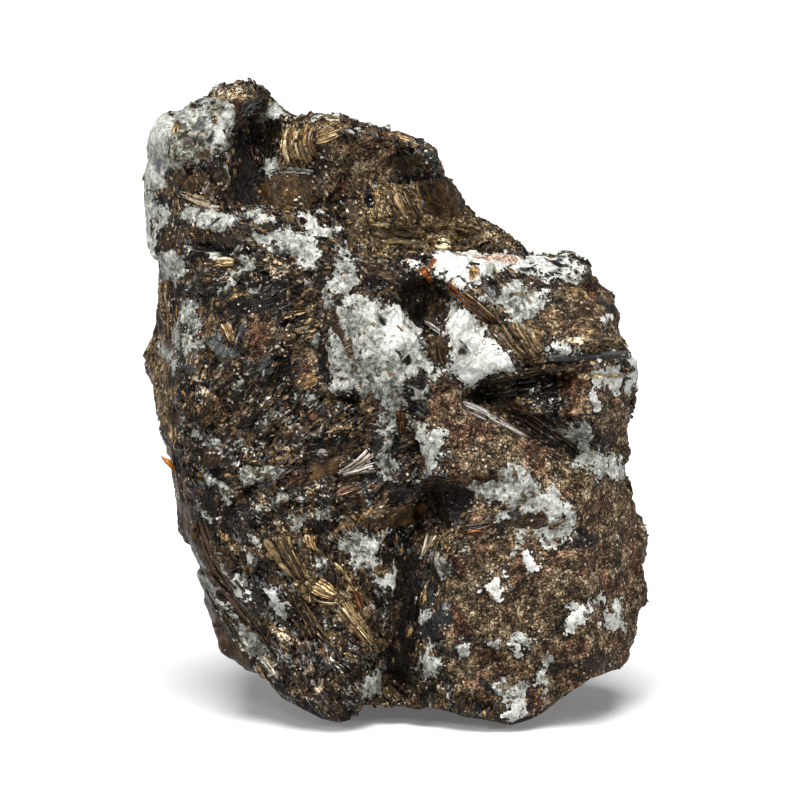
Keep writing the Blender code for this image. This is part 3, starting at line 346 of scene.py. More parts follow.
# How white the feldspar is near (x, z): 0 is smoky grey, 1 is pure white.
WHITENESS = [
    (-36, 89, 0.85), (-36, 83, 0.66), (-33, 87.6, 0.3), (-31, 92.6, 0.62), (-28, 91, 0.35), (-37, 79, 0.55),
    (-26.2, 88.2, 0.85), (-32, 85, 0.32), (-29, 86.5, 0.2), (-30.6, 89.4, 0.35), (-34.6, 91, 0.74), (-22, 94, 0.6),
    (-18, 92, 0.6), (-28, 75, 0.6), (-36, 74, 0.62), (-15, 72, 0.62), (-12, 74.5, 0.85), (-8, 68, 0.5),
    (-34, 69, 0.55), (-32, 60, 0.45), (-32, 56, 0.5), (-26, 56, 0.2), (-7, 61, 0.5), (-4, 60, 0.6), (0, 59, 0.8),
    (2, 56, 0.75), (-6, 54, 0.45), (-1, 52, 0.5), (-1, 47, 0.45), (-9, 53, 0.6), (0, 43, 0.5), (6, 43, 0.65),
    (11, 58, 0.86), (9, 55, 0.78), (15, 53, 0.9), (12, 61, 0.76), (8, 68, 1), (12, 69, 0.84), (16, 68.6, 0.74),
    (22, 69, 0.84), (26, 68, 0.8), (18, 63, 0.45), (36, 54, 0.78), (32, 52, 0.85), (27, 42, 0.45), (32, 38, 0.65),
    (17, 35, 0.5), (20, 37, 0.6), (24, 33, 0.62), (12, 35, 0.4), (19, 27, 0.55), (24, 28, 0.6), (20, 24, 1),
    (15, 20, 1), (27, 16, 0.8), (33, 16, 0.7), (17, 12, 0.68), (17, 4, 0.5), (18, 2, 0.85), (22, 7, 0.6), (5, 9, 0.5),
    (-4, 6, 0.6), (-5, 26, 0.5), (-1.5, 21.5, 0.75), (6, 24, 0.35), (-28, 42, 0.45), (-23, 48.5, 0.35),
    (-19, 37.6, 0.35), (-19.5, 45, 0.4), (-27, 35.5, 0.4), (-29, 32, 0.4), (-13, 31, 0.45), (-24, 21, 0.8),
    (-18, 18, 0.9), (-22, 12.5, 0.36), (-28, 21, 0.45), (-19, 8, 0.6),
]
# The underside seen from the front: nothing of the front lies lower than this line of (x, z).
UNDERSIDE = [
    (-40, 9.7), (-25.6, 9.7), (-24.5, 8.5), (-22.7, 7.2), (-20.8, 7.5), (-18.9, 6), (-17.1, 3.9), (-14.4, 2.4),
    (-11.4, 0.8), (-8.4, 0.1), (-6.9, 0.5), (-5.4, 2), (-5, 3), (0.6, 2.7), (3.2, 2.2), (5, 2.7), (7.7, 2.1),
    (10.4, 1.1), (12.9, 0.8), (14.9, 0.3), (17.1, -0.4), (18.9, 0.2), (21.2, 1.2), (23.1, 2.6), (24.6, 3.7),
    (26.9, 5.2), (29.1, 6.7), (31.4, 7.4), (33.6, 8), (35.1, 9), (36, 10), (40, 12),
]
SOLE_BAND_MM = 1.2  # the band above the line that takes up what lay below it
PACKET_MM = 3.4  # size of a packet of blades that lie one way
PACKET_SPREAD = math.radians(28.0)
LATH_MM = (5.0, 1.6, 0.75)  # a blade's length, depth and width
FAR_OUT_MM = -6.0  # depths are measured no farther out than this
CLAST_REACH_MM = 8.0
HIDDEN_SLOPE_MM = 12.0  # how fast a mineral's depth grows with the noise where nothing is seen
PACKET_TILT = 0.11  # how much packets lean out of the face
PACKET_LIFT_MM = 0.2
PACKET_APART = 7.31  # sets one packet's laths apart from the next one's
LATH_TILE = 8.0  # the laths' cells repeat after this many
LATH_LIFT_MM = 0.16
CLEFT_MM = 0.35  # how wide the clefts between packets are
CLEFT_DEEP_MM = 0.25
PAST_CAD_MM = 0.4  # how far the skin may leave the solid's box


def signed_depth(plan, outline):
    """How far each (x, z) lies inside a closed outline, and less than nothing outside it."""
    corners = np.reshape(outline, (-1, 2)).astype(float)
    inside = np.zeros(len(plan), bool)
    nearest = np.full(len(plan), np.inf)
    for (ax, az), (bx, bz) in zip(corners, np.roll(corners, -1, axis=0)):
        run = np.array([bx - ax, bz - az])
        along = np.clip(((plan - (ax, az)) @ run) / (run @ run), 0.0, 1.0)
        nearest = np.minimum(nearest, np.linalg.norm(plan - (ax, az) - along[:, None] * run, axis=1))
        if az != bz:
            crosses = (az > plan[:, 1]) != (bz > plan[:, 1])
            inside ^= crosses & (plan[:, 0] < run[0] * (plan[:, 1] - az) / run[1] + ax)
    return np.where(inside, nearest, -nearest)


def oval(x, z, length, width, slope=0):
    """A ten-cornered outline round a lump."""
    turn = np.radians(slope)
    spots = np.linspace(0.0, 2.0 * np.pi, 10, endpoint=False)
    swell = 1.0 + 0.18 * np.sin(3.0 * spots + x + 2.0 * z)
    along, across = length * swell * np.cos(spots), width * swell * np.sin(spots)
    cosine, sine = np.cos(turn), np.sin(turn)
    return np.stack([x + along * cosine - across * sine, z + along * sine + across * cosine], axis=1)


def depth_in(plan, outlines):
    """How far each (x, z) lies inside the nearest of several outlines."""
    depth = np.full(len(plan), FAR_OUT_MM)
    for outline in outlines:
        corners = np.reshape(outline, (-1, 2))
        low, high = corners.min(axis=0) + FAR_OUT_MM, corners.max(axis=0) - FAR_OUT_MM
        near = np.nonzero(((plan > low) & (plan < high)).all(axis=1))[0]
        depth[near] = np.maximum(depth[near], signed_depth(plan[near], outline))
    return depth


def weights_at(plan, table, soft, power):
    """How much each entry (x, z, value) of a table counts at each (x, z): the nearest counts most."""
    places = np.array(table, float)[:, :2]
    return 1.0 / (((plan[:, None, :] - places[None]) ** 2).sum(axis=2) + soft) ** power


def lie_at(plan):
    """The direction of the blades at each (x, z), in radians."""
    doubled = np.radians([2.0 * entry[2] for entry in LIE])
    weight = weights_at(plan, LIE, 4.0, 1.5)
    return 0.5 * np.arctan2(weight @ np.sin(doubled), weight @ np.cos(doubled))


def whiteness_at(plan):
    """How white the feldspar is at each (x, z)."""
    weight = weights_at(plan, WHITENESS, 2.0, 2)
    return (weight @ np.array(WHITENESS, float)[:, 2]) / weight.sum(axis=1)


def read(collection, name, width=1, kind=np.float32):
    """One field of every item of a mesh."""
    flat = np.empty(len(collection) * width, kind)
    collection.foreach_get(name, flat)
    return flat.reshape(-1, width) if width > 1 else flat


def read_vectors(collection, name):
    return read(collection, name, 3).astype(float)


def move_to(obj, points):
    """Moves an object's points to places in millimetres."""
    obj.data.vertices.foreach_set("co", (points * MM).astype(np.float32).ravel())
    obj.data.update()


def noise_at(points, size, octaves, seed):
    """Smooth noise of about -1 to 1 at points (n, 3) in millimetres."""
    shift = Vector((17.3 * seed, 5.1 * seed, 9.7 * seed))
    return np.array([noise.fractal(Vector(point / size) + shift, 1.0, 2.0, octaves) for point in points])


def cell_tree(low, high, spacing, seed):
    """Random cell centres in a box, with a search tree over them."""
    count = int(np.prod(high - low) / spacing**3)
    centres = np.random.default_rng(seed).uniform(low, high, (count, 3))
    tree = kdtree.KDTree(count)
    for index, centre in enumerate(centres):
        tree.insert(centre, index)
    tree.balance()
    return centres, tree


def nearest_two(tree, points):
    """For each point the nearest centre's index, and how much nearer it is than the second."""
    found = [tree.find_n(point, 2) for point in points]
    return np.array([pair[0][1] for pair in found]), np.array([pair[1][2] - pair[0][2] for pair in found])


rock = bpy.data.objects.new("rock_skin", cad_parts["astrophyllite_rock"].data.copy())
link_object(rock)
even = rock.modifiers.new("even skin", "REMESH")
even.mode = "VOXEL"
even.voxel_size = SKIN_VOXEL
evened = bpy.data.meshes.new_from_object(rock.evaluated_get(bpy.context.evaluated_depsgraph_get()))
rock.modifiers.clear()
rock.data = evened

build = bmesh.new()
build.from_mesh(rock.data)
bmesh.ops.subdivide_edges(build, edges=list(build.edges), cuts=1, use_grid_fill=True)
for _ in range(3):
    bmesh.ops.smooth_vert(build, verts=build.verts, factor=0.5, use_axis_x=True, use_axis_y=True, use_axis_z=True)
bmesh.ops.triangulate(build, faces=list(build.faces))
build.to_mesh(rock.data)
build.free()

points = read_vectors(rock.data.vertices, "co") / MM
plan = on_front(points)
over_sole = plan[:, 1] - np.interp(plan[:, 0], *np.array(UNDERSIDE, float).T) + SOLE_BAND_MM / 3.0
squeezed = SOLE_BAND_MM * np.exp(np.minimum(over_sole / SOLE_BAND_MM, 1.0) - 1.0)
points[:, 2] += np.where(over_sole < SOLE_BAND_MM, squeezed - over_sole, 0.0)
move_to(rock, points)
outward = read_vectors(rock.data.vertex_normals, "vector")
plan = on_front(points)
seen = np.clip((outward @ -sight + 0.2) / 0.2, 0.0, 1.0) * (points[:, 1] < SEEN_TO_MM)
broad = noise_at(points, 14.0, 3, 1)
patchy = noise_at(points, 9.0, 3, 2)


def mineral_depth(outlines, ovals, hidden):
    """Depth inside a mineral: from its outlines on the front, and from noise where the camera doesn't see."""
    shown = depth_in(plan, [*outlines.values(), *[oval(*shape) for shape in ovals]])
    return seen * shown + (1.0 - seen) * np.clip(hidden, FAR_OUT_MM, -FAR_OUT_MM)


minerals = {
    "feldspar": mineral_depth(FELDSPAR, FELDSPAR_CHIPS, (patchy - 0.28) * HIDDEN_SLOPE_MM),
    "granular": mineral_depth(GRANULAR, SUGAR_LUMPS, (broad - 0.05) * 14.0),
    "smoky": mineral_depth(SMOKY_AND_PAINTED_SHADE, (), (-patchy - 0.42) * HIDDEN_SLOPE_MM),
    "amber": mineral_depth(AMBER, (), (-broad - 0.5) * HIDDEN_SLOPE_MM),
    "bronze": mineral_depth(BRONZE, (), (noise_at(points, 11.0, 2, 3) - 0.2) * HIDDEN_SLOPE_MM),
}
clasts = [(kind, shape) for kind, shapes in CLASTS.items() for shape in shapes]
clast_depth = np.full(len(plan), FAR_OUT_MM)
clast_index = np.zeros(len(plan), int)
for index, (kind, shape) in enumerate(clasts):
    near = np.nonzero(np.abs(plan - shape[:2]).max(axis=1) < CLAST_REACH_MM)[0]
    depth = signed_depth(plan[near], oval(*shape))
    deeper = depth > clast_depth[near]
    clast_depth[near[deeper]] = depth[deeper]
    clast_index[near[deeper]] = index
clast_depth = np.where(seen > 0.3, clast_depth, FAR_OUT_MM)


def share(depth, soft):
    """1 inside a mineral, 0 outside it, and a slope this wide between."""
    return np.clip(depth / soft + 0.5, 0.0, 1.0)


packet_centres, packet_tree = cell_tree(points.min(axis=0) - 1.0, points.max(axis=0) + 1.0, PACKET_MM, 21)
packet_count = len(packet_centres)
random = np.random.default_rng(22)
packet_lie = lie_at(on_front(packet_centres)) + random.uniform(-1.0, 1.0, packet_count) * PACKET_SPREAD
packet_tilt = random.normal(0.0, PACKET_TILT, (packet_count, 3))
packet_lift = random.normal(0.0, PACKET_LIFT_MM, packet_count)
wavering = 0.5 * np.stack([noise_at(points, 2.0, 2, seed) for seed in (31, 32, 33)], axis=1)
packet, packet_margin = nearest_two(packet_tree, points + wavering)
in_packet = points - packet_centres[packet]

# Places in each packet's own directions: along its blades, into the rock and across the blades.
cosine, sine = np.cos(packet_lie[packet]), np.sin(packet_lie[packet])
along = in_packet[:, 0] * cosine + in_packet[:, 2] * sine
across = -in_packet[:, 0] * sine + in_packet[:, 2] * cosine
lath_space = np.stack([along, in_packet[:, 1], across], axis=1) / np.array(LATH_MM) + packet[:, None] * PACKET_APART
lath_centres, lath_tree = cell_tree(np.full(3, -1.0), np.full(3, LATH_TILE + 1.0), 1.0, 23)
lath, _ = nearest_two(lath_tree, np.mod(lath_space, LATH_TILE))
lath_lift = np.random.default_rng(24).normal(0.0, 1.0, len(lath_centres))

is_feldspar = share(minerals["feldspar"], 1.0)
is_granular = share(minerals["granular"], 1.5) * (1.0 - is_feldspar)
is_bronze = share(minerals["bronze"], 1.5) * (1.0 - is_feldspar)
is_smooth = np.maximum(share(minerals["smoky"], 1.5), share(minerals["amber"], 1.2)) * (1.0 - is_feldspar)
bladed = (1.0 - is_feldspar) * (1.0 - 0.85 * is_granular) * (1.0 - 0.85 * is_smooth) * (1.0 - 0.35 * is_bronze)

relief = bladed * (
    packet_lift[packet]
    + (in_packet * packet_tilt[packet]).sum(axis=1)
    + LATH_LIFT_MM * (1.0 + 0.6 * is_bronze) * lath_lift[lath]
    - CLEFT_DEEP_MM * np.exp(-((packet_margin / CLEFT_MM) ** 2))
)
relief += is_feldspar * (0.3 + 0.6 * noise_at(points, 3.0, 3, 4) + 0.25 * noise_at(points, 1.0, 2, 5))
relief += is_granular * (0.26 * noise_at(points, 1.7, 3, 6) + 0.12 * noise_at(points, 0.7, 1, 7))
relief += 0.12 * noise_at(points, 0.6, 1, 8)
relief *= 1.0 - 0.6 * np.clip(-outward[:, 0] - 0.3, 0.0, 0.5) / 0.5  # the left flank is the smoothest
above_floor = np.clip((points[:, 2] - 0.3) / 2.0, 0.0, 1.0) * np.clip(over_sole / 2.5, 0.2, 1.0)
points += outward * (relief * above_floor)[:, None]
points = np.clip(points, np.array(cad_low) / MM - PAST_CAD_MM, np.array(cad_high) / MM + PAST_CAD_MM)
points[:, 2] = np.maximum(points[:, 2], 0.0)
move_to(rock, points)


def tone(red, green, blue):
    """A linear colour from everyday 0-255 values."""
    return (*[((c / 255.0 + 0.055) / 1.055) ** 2.4 if c > 10 else c / 255.0 / 12.92 for c in (red, green, blue)], 1.0)


def keep(mesh, name, kind, domain, values):
    """Writes one value for each point or face into a mesh, for its material to read."""
    field = {"FLOAT": "value", "FLOAT_VECTOR": "vector", "FLOAT_COLOR": "color"}[kind]
    mesh.attributes.new(name, kind, domain).data.foreach_set(field, np.asarray(values, np.float32).ravel())


corners = read(rock.data.polygons, "vertices", 3, np.int32)
face_packet, face_clast = packet[corners[:, 0]], clast_index[corners[:, 0]]
packet_chance = np.concatenate([random.uniform(0.0, 1.0, (packet_count, 3)), np.ones((packet_count, 1))], axis=1)
clast_tones = np.array([(*tone(*CLAST_TONES[kind][:3])[:3], CLAST_TONES[kind][3]) for kind, _ in clasts])
painted_glint_flags = np.array([kind == "glitter" for kind, _ in clasts], float)
for name, depth in minerals.items():
    keep(rock.data, name, "FLOAT", "POINT", depth)
keep(rock.data, "whiteness", "FLOAT", "POINT", seen * whiteness_at(plan) + (1.0 - seen) * (0.55 + 0.3 * broad))
keep(rock.data, "clast_depth", "FLOAT", "POINT", clast_depth)
keep(rock.data, "packet_centre", "FLOAT_VECTOR", "FACE", packet_centres[face_packet])
keep(rock.data, "packet_chance", "FLOAT_COLOR", "FACE", packet_chance[face_packet])
keep(rock.data, "packet_lie", "FLOAT", "FACE", packet_lie[face_packet])
keep(rock.data, "clast_tone", "FLOAT_COLOR", "FACE", clast_tones[face_clast])
keep(rock.data, "clast_painted_glint", "FLOAT", "FACE", painted_glint_flags[face_clast])
rock.data.polygons.foreach_set("use_smooth", is_feldspar[corners].mean(axis=1) > 0.5)


def skin_part(name, kept):
    """The kept faces of the rock's skin as a piece of their own."""
    part = bpy.data.objects.new(name, rock.data.copy())
    link_object(part)
    build = bmesh.new()
    build.from_mesh(part.data)
    build.faces.ensure_lookup_table()
    bmesh.ops.delete(build, geom=[build.faces[index] for index in np.nonzero(~kept)[0]], context="FACES")
    build.to_mesh(part.data)
    build.free()
    return part


face_middles = points[corners].mean(axis=1)
behind, above = face_middles[:, 1] > SEAM_MM, face_middles[:, 2] > WAIST_MM
skins = [
    skin_part("upper_front_skin", ~behind & above), skin_part("lower_front_skin", ~behind & ~above),
    skin_part("rear_skin", behind),
]
rock_tree = bvhtree.BVHTree.FromObject(rock, bpy.context.evaluated_depsgraph_get())
bpy.data.objects.remove(rock)


class Shade:
    """An output of a shader node. Arithmetic on it adds nodes, and an index gives its node's other outputs."""

    def __init__(self, socket):
        self.socket, self.many = socket, socket.type != "VALUE"

    def __getitem__(self, key):
        return Shade(self.socket.node.outputs[key])

    def maths(self, operation, *values):
        return node("VectorMath" if self.many else "Math", self, *values, operation=operation)

    def __add__(self, other):
        return self.maths("ADD", other)

    def __sub__(self, other):
        return self.maths("SUBTRACT", other)

    def __rsub__(self, other):
        return node("Math", other, self, operation="SUBTRACT")

    def __truediv__(self, other):
        return self.maths("DIVIDE", other)

    def __pow__(self, other):
        return self.maths("POWER", other)

    def __mul__(self, other):
        """A triple times one number, or part by part."""
        one_number = not other.many if isinstance(other, Shade) else isinstance(other, float)
        return self.maths("SCALE" if self.many and one_number else "MULTIPLY", other)


def give(socket, value):
    """Links a Shade to a socket, or sets a plain value on it. None leaves it alone."""
    if isinstance(value, Shade):
        socket.id_data.links.new(value.socket, socket)
    elif value is not None:
        socket.default_value = value


def node(kind, *values, tree=None, out=0, **settings):
    """A new shader node, as the Shade of one output. The values fill its inputs in order, settings set its fields."""
    tree = tree or next(value.socket.id_data for value in values if isinstance(value, Shade))
    made = tree.nodes.new("ShaderNode" + kind)
    for name, value in settings.items():
        setattr(made, name, value)
    for socket, value in zip([socket for socket in made.inputs if socket.enabled], values):
        give(socket, value)
    return Shade(made.outputs[out])


def fill(made, **values):
    """Gives values to a node's inputs by name."""
    for label, value in values.items():
        give(made.inputs[label.replace("_", " ")], value)


def over(mask, under, above):
    """The colour `above` laid over `under` where the mask is 1."""
    return node("Mix", mask, under, above, data_type="RGBA", out=2)


def between(mask, first, second):
    """A number that goes from the first to the second as the mask goes from 0 to 1."""
    return node("Mix", mask, first, second)


def shaded(colour, factor):
    """The colour made darker or lighter by a factor."""
    return node("Mix", 1.0, colour, factor, data_type="RGBA", blend_type="MULTIPLY", out=2)


def rise(value, low, high, start=0.0, end=1.0):
    """A number that climbs from start to end as the value goes from low to high."""
    return node("MapRange", value, low, high, start, end)


def near_to(value, middle, within):
    """1 where the value lies this near to the middle, else 0."""
    return value.maths("COMPARE", middle, within)


def ramp(value, *stops, **settings):
    """Linear colours along a value: stops are (place, grey) or (place, red, green, blue)."""
    made = node("ValToRGB", value)
    bands = made.socket.node.color_ramp
    for name, setting in settings.items():
        setattr(bands, name, setting)
    for spot, (place, *parts) in enumerate(stops):
        stop = bands.elements[spot] if spot < 2 else bands.elements.new(place)
        stop.position = place
        stop.color = (*parts * (3 // len(parts)), 1.0)
    return made


def tones(value, *stops, **settings):
    """Everyday 0-255 colours along a value: stops are (place, red, green, blue)."""
    return ramp(value, *[(place, *tone(*colour)[:3]) for place, *colour in stops], **settings)


def noises(vector, *values):
    """Noise of 0 to 1: the values are its scale, detail, roughness, lacunarity and distortion."""
    return node("TexNoise", vector, *values)


def speckle(vector, size, detail=2.0):
    """Even noise of 0 to 1 with blotches of about this size."""
    return noises(vector, 1.0 / size, detail, 0.6)


def cells(vector, scale=1.0, **settings):
    return node("TexVoronoi", vector, scale, **settings)


def split(colour):
    return node("SeparateXYZ", colour)


def attribute(tree, name, part="Fac"):
    """What a mesh keeps under a name."""
    return node("Attribute", tree=tree, attribute_name=name, out=part)


def new_group(name, **inputs):
    """A shader node group with its inputs, which take their kinds from their values."""
    tree = bpy.data.node_groups.new(name, "ShaderNodeTree")
    for label, value in inputs.items():
        kind = "Float" if isinstance(value, float) else {3: "Vector", 4: "Color"}[len(value)]
        socket = tree.interface.new_socket(label, in_out="INPUT", socket_type="NodeSocket" + kind)
        socket.default_value = value
    return tree, Shade(tree.nodes.new("NodeGroupInput").outputs[0])


def hand_out(tree, **outputs):
    """A node group's outputs, each of its value's own kind."""
    kinds = {"VALUE": "Float", "RGBA": "Color", "VECTOR": "Vector"}
    for label, value in outputs.items():
        socket_type = "NodeSocket" + kinds[value.socket.type]
        tree.interface.new_socket(label, in_out="OUTPUT", socket_type=socket_type)
    fill(tree.nodes.new("NodeGroupOutput"), **outputs)


def use(group, **values):
    """A node group placed in the tree of the values that it is given."""
    tree = next(value.socket.id_data for value in values.values() if isinstance(value, Shade))
    made = tree.nodes.new("ShaderNodeGroup")
    made.node_tree = group
    fill(made, **values)
    return Shade(made.outputs[0])


# The blades inside a packet: laths that lie the packet's way, with fine striations.
packets, given = new_group("blades in a packet", Place=(0, 0, 0), Centre=(0, 0, 0), Chance=(0, 0, 0, 1), Lie=0.0,
                           Length=2.4, Width=0.34)
turned = node("VectorRotate", given["Place"] - given["Centre"], None, given["Lie"], rotation_type="Y_AXIS")
own = given["Chance"] * 37.0
unit = turned / node("CombineXYZ", given["Length"], given["Width"] * 3.0, given["Width"]) + own
bent = unit + noises(unit, 0.7, 1.0)[1] * 1.2
laths = cells(bent)
flaky = turned * (0.55, 1.1, 1.25) + own
hand_out(
    packets, Lath=laths["Color"], Seam=rise(laths, 0.45, 0.85), Streak=noises(bent * (1.3, 1.5, 2.6), 1.0, 3.0, 0.65),
    Flake=noises(laths["Position"], 1.7, 2.0, 0.7) * 0.6 + noises(flaky, 1.5, 5.0, 0.82, 2.0, 0.5) * 0.4,
    Line=noises(flaky * (0.6, 1.0, 1.2), 1.6, 2.0, 0.5),
)

# Facets: every cell's face leans its own way, so that it catches or misses the light as a whole.
facets, given = new_group("leaning facets", Chance=(0.5, 0.5, 0.5, 1), Lean=0.5)
lean = (given["Chance"] - (0.5, 0.5, 0.5)) * given["Lean"]
hand_out(facets, Normal=(node("NewGeometry", tree=facets, out="Normal") + lean).maths("NORMALIZE"))

# A mineral's ragged edge: from the depth inside its outline in millimetres to a crisp mask.
ragged, given = new_group("ragged edge", Depth=0.0, Coarse=0.5, Fine=0.5, Reach=2.0, Soft=0.15)
swing = (given["Fine"] - 0.5) * given["Reach"] + (given["Coarse"] - 0.5) * (given["Reach"] * 2.0)
edge_depth = given["Depth"] + swing
hand_out(ragged, Mask=rise(edge_depth, given["Soft"] * -1.0, given["Soft"]),
         Joint=near_to(edge_depth, -0.25, 0.22) * rise(given["Coarse"], 0.46, 0.5))

# Sugar-like grains of brown mica and pyroxene, with painted glints: rare pale specks that stand for sparkles of light.
grains, given = new_group("sugar grains", Place=(0, 0, 0), Size=0.4)
grain = cells(given["Place"] / given["Size"])
chance = split(grain["Color"])
clumps = speckle(given["Place"], 1.6, 5.0) * 2.3 + noises(given["Place"], 3.3, 3.0, 0.85) * 2.9
grain_light = clumps + noises(grain["Position"], 1.3, 2.0, 0.8) * 1.2 + chance[0] * 0.34 - 2.86
colour = tones(grain_light, (0.06, 18, 13, 9), (0.28, 48, 38, 27), (0.5, 90, 73, 53), (0.72, 138, 114, 87),
               (0.9, 190, 164, 134), (1.0, 226, 208, 182))
# Painted glints: a few grains turn near-white.
colour = over(rise(chance[1], 0.982, 0.986), colour, tone(240, 226, 204))
colour = shaded(colour, ramp(grain, (0.5, 1.0), (0.8, 0.7, 0.68, 0.66)))
warmth = tones(speckle(given["Place"], 4.5, 3.0), (0.32, 140, 144, 136), (0.42, 232, 232, 216), (0.5, 255, 252, 240),
               (0.57, 248, 222, 206), (0.64, 176, 140, 126))
hand_out(grains, Color=shaded(colour, warmth), Chance=grain["Color"], Height=1.0 - grain)

# Feldspar: white to grey-green and glassy, with cleavage steps, dark specks, brown stain and bright chips.
feldspar, given = new_group("feldspar", Place=(0, 0, 0), White=0.5)
place, white = given["Place"], given["White"]
cloud, veil = speckle(place, 2.6, 4.0), speckle(place, 0.7, 5.0)
bent = place + noises(place, 0.35, 2.0)[1] * 2.5
chip = split(cells(bent * (1.7, 1.7, 1.1))["Color"])
small = cells(place, 3.1)["Color"]
swing = (veil - 0.5) * rise(white, 0.2, 0.6, 2.6, 0.9)
milk_light = swing + white * 0.95 - 0.79 + cloud * 1.1 + chip[0] * 0.2 + split(small)[0] * 0.24
milky = tones(milk_light, (0.0, 52, 53, 50), (0.2, 104, 106, 100), (0.42, 156, 158, 149), (0.62, 202, 203, 195),
              (0.82, 238, 238, 232), (1.0, 254, 254, 252))
steps = cells(bent * (0.9, 0.9, 0.5), feature="DISTANCE_TO_EDGE")
crack = rise(steps, 0.0, 0.05, 1.0, 0.0) * rise(speckle(place, 1.6), 0.52, 0.6)
stain = rise(speckle(place, 1.2, 5.0) - white * 0.24, 0.46, 0.48)
stains = tones(chip[1], (0.0, 78, 60, 38), (0.36, 38, 30, 21), (0.6, 118, 88, 54), (0.8, 88, 90, 84),
               interpolation="CONSTANT")
body = over(stain * 0.92, milky, stains)
body = over(crack * 0.7, body, tone(62, 56, 46))
body = over(rise(speckle(place, 0.5, 3.0), 0.66, 0.7) * 0.8, body, tone(34, 30, 26))
body = shaded(body, ramp(white, (0.15, 1.0, 0.93, 0.74), (0.42, 1.0, 1.0, 0.98)))
hand_out(feldspar, Color=body, Chance=over(0.16, (0.5, 0.5, 0.5, 1.0), small), Height=cloud + veil - crack * 0.5)


def new_material(name):
    """An empty material: its node tree, its Principled shader and the piece's own coordinates in millimetres."""
    material = bpy.data.materials.new(name)
    material.use_nodes = True
    tree = material.node_tree
    tree.nodes.clear()
    shader = node("BsdfPrincipled", tree=tree)
    give(tree.nodes.new("ShaderNodeOutputMaterial").inputs[0], shader)
    return material, tree, shader.socket.node, node("TexCoord", tree=tree, out="Object") * (1.0 / MM)


def bumpy(height, normal, strength, distance):
    """A normal with small heights on it. The strength and distance are set on the node itself."""
    made = node("Bump", tree=height.socket.id_data)
    fill(made.socket.node, Strength=strength, Distance=distance, Height=height, Normal=normal)
    return made


broken_rock, tree, shader, place = new_material("broken rock")
packet_chance = attribute(tree, "packet_chance", "Color")
packet_part = split(packet_chance)
laid = {"Place": place, "Centre": attribute(tree, "packet_centre", "Vector"), "Chance": packet_chance,
        "Lie": attribute(tree, "packet_lie")}
blades = use(packets, Length=2.2, Width=0.3, **laid)
chips = use(packets, Length=0.85, Width=0.42, **laid)
coarse, fine = speckle(place, 2.2), speckle(place, 0.5)
grit = cells(place, 3.4)["Color"]
grit_part = split(grit)
patches = split(cells(place + noises(place, 0.8, 2.0)[1] * 1.6, 0.42)["Color"])


def edge(name, reach, soft):
    """A mineral's edge, from the depth inside it that the mesh keeps."""
    return use(ragged, Depth=attribute(tree, name), Coarse=coarse, Fine=fine, Reach=reach, Soft=soft)


# The ground: chips and laths of many kinds, some flaked and some smooth, with painted glints between them.
is_lath = rise(packet_part[1], 0.34, 0.36, 1.0, 0.0)
piece = over(is_lath, chips["Lath"], blades["Lath"])
piece_part = split(piece)
kinds = tones(
    piece_part[2] * 0.2 - 0.05 + patches[0] * 0.9, (0.0, 19, 14, 9), (0.17, 48, 36, 22), (0.32, 84, 67, 45),
    (0.46, 34, 26, 18), (0.56, 124, 101, 69), (0.67, 62, 45, 27), (0.76, 26, 24, 22), (0.83, 104, 105, 102),
    (0.885, 178, 174, 164), (0.93, 86, 54, 30), interpolation="CONSTANT")
clast_edge = edge("clast_depth", 1.7, 0.08)
bare = 1.0 - clast_edge
clast_tone = attribute(tree, "clast_tone", "Color")
kinds = over(clast_edge, kinds, clast_tone)
broken = between(clast_edge, rise(patches[1], 0.15, 0.6, 0.35, 1.0), clast_tone["Alpha"])
flake = between(is_lath, chips["Flake"], blades["Flake"])
light = piece_part[0] ** 2.0 * 0.9 + 0.68
light *= rise(between(is_lath, chips["Streak"], blades["Streak"]), 0.32, 0.68, 0.55, 1.45)
light *= grit_part[0] ** 2.5 * 1.1 + 0.66
light *= ramp(flake, (0.37, 0.02), (0.44, 0.16), (0.5, 0.6), (0.55, 1.7), (0.61, 4.2))
light *= rise(near_to(blades["Line"], 0.44, 0.018), 0.0, 1.0, 1.0, 0.15)
light = between(broken, rise(flake, 0.36, 0.64, 0.5, 1.5), light) * rise(packet_part[0], 0.0, 1.0, 0.6, 1.25)
ground = shaded(kinds, light)
sparse = rise(speckle(place, 3.5), 0.5, 0.56)
odd_kinds = tones(piece_part[0], (0.0, 12, 10, 8), (0.3, 150, 148, 142), (0.5, 160, 124, 74), (0.8, 228, 218, 198),
                  interpolation="CONSTANT")
ground = over(rise(piece_part[1], 0.95, 0.955) * sparse * bare, ground, odd_kinds)
# Painted glints: near-white specks over the glinting clasts.
glitter = attribute(tree, "clast_painted_glint") * clast_edge * rise(grit_part[0], 0.6, 0.62)
ground = over(glitter, ground, tone(252, 236, 206))
# Painted glints along blade edges: thin pale lines in the colour.
painted_edge_glint = near_to(blades["Line"], 0.53, 0.011) * broken * rise(blades["Flake"], 0.5, 0.54)
ground = over(painted_edge_glint * 0.85, ground, over(packet_part[2], tone(206, 170, 118), tone(232, 230, 224)))
# Painted glints: sparse near-white specks of grit.
ground = over(rise(grit_part[1], 0.965, 0.97) * sparse, ground, tone(250, 240, 222))

# The minerals over it, from the lowest to the highest: bronze, smoky, amber, granular and feldspar.
bronze_mask = edge("bronze", 5.0, 0.2)
bronze_light = blades["Streak"] * 0.9 + split(blades["Lath"])[0] * 0.3 - 0.12 + (grit_part[0] - 0.5) * 0.42
bronze_colour = tones(bronze_light, (0.22, 28, 21, 14), (0.4, 86, 68, 43), (0.52, 134, 109, 72), (0.64, 182, 154, 108),
                      (0.8, 240, 218, 178))
bronze_colour = shaded(bronze_colour, ramp(blades["Seam"], (0.3, 1.1), (0.9, 0.3, 0.28, 0.25)))
colour = over(bronze_mask * bare, ground, bronze_colour)

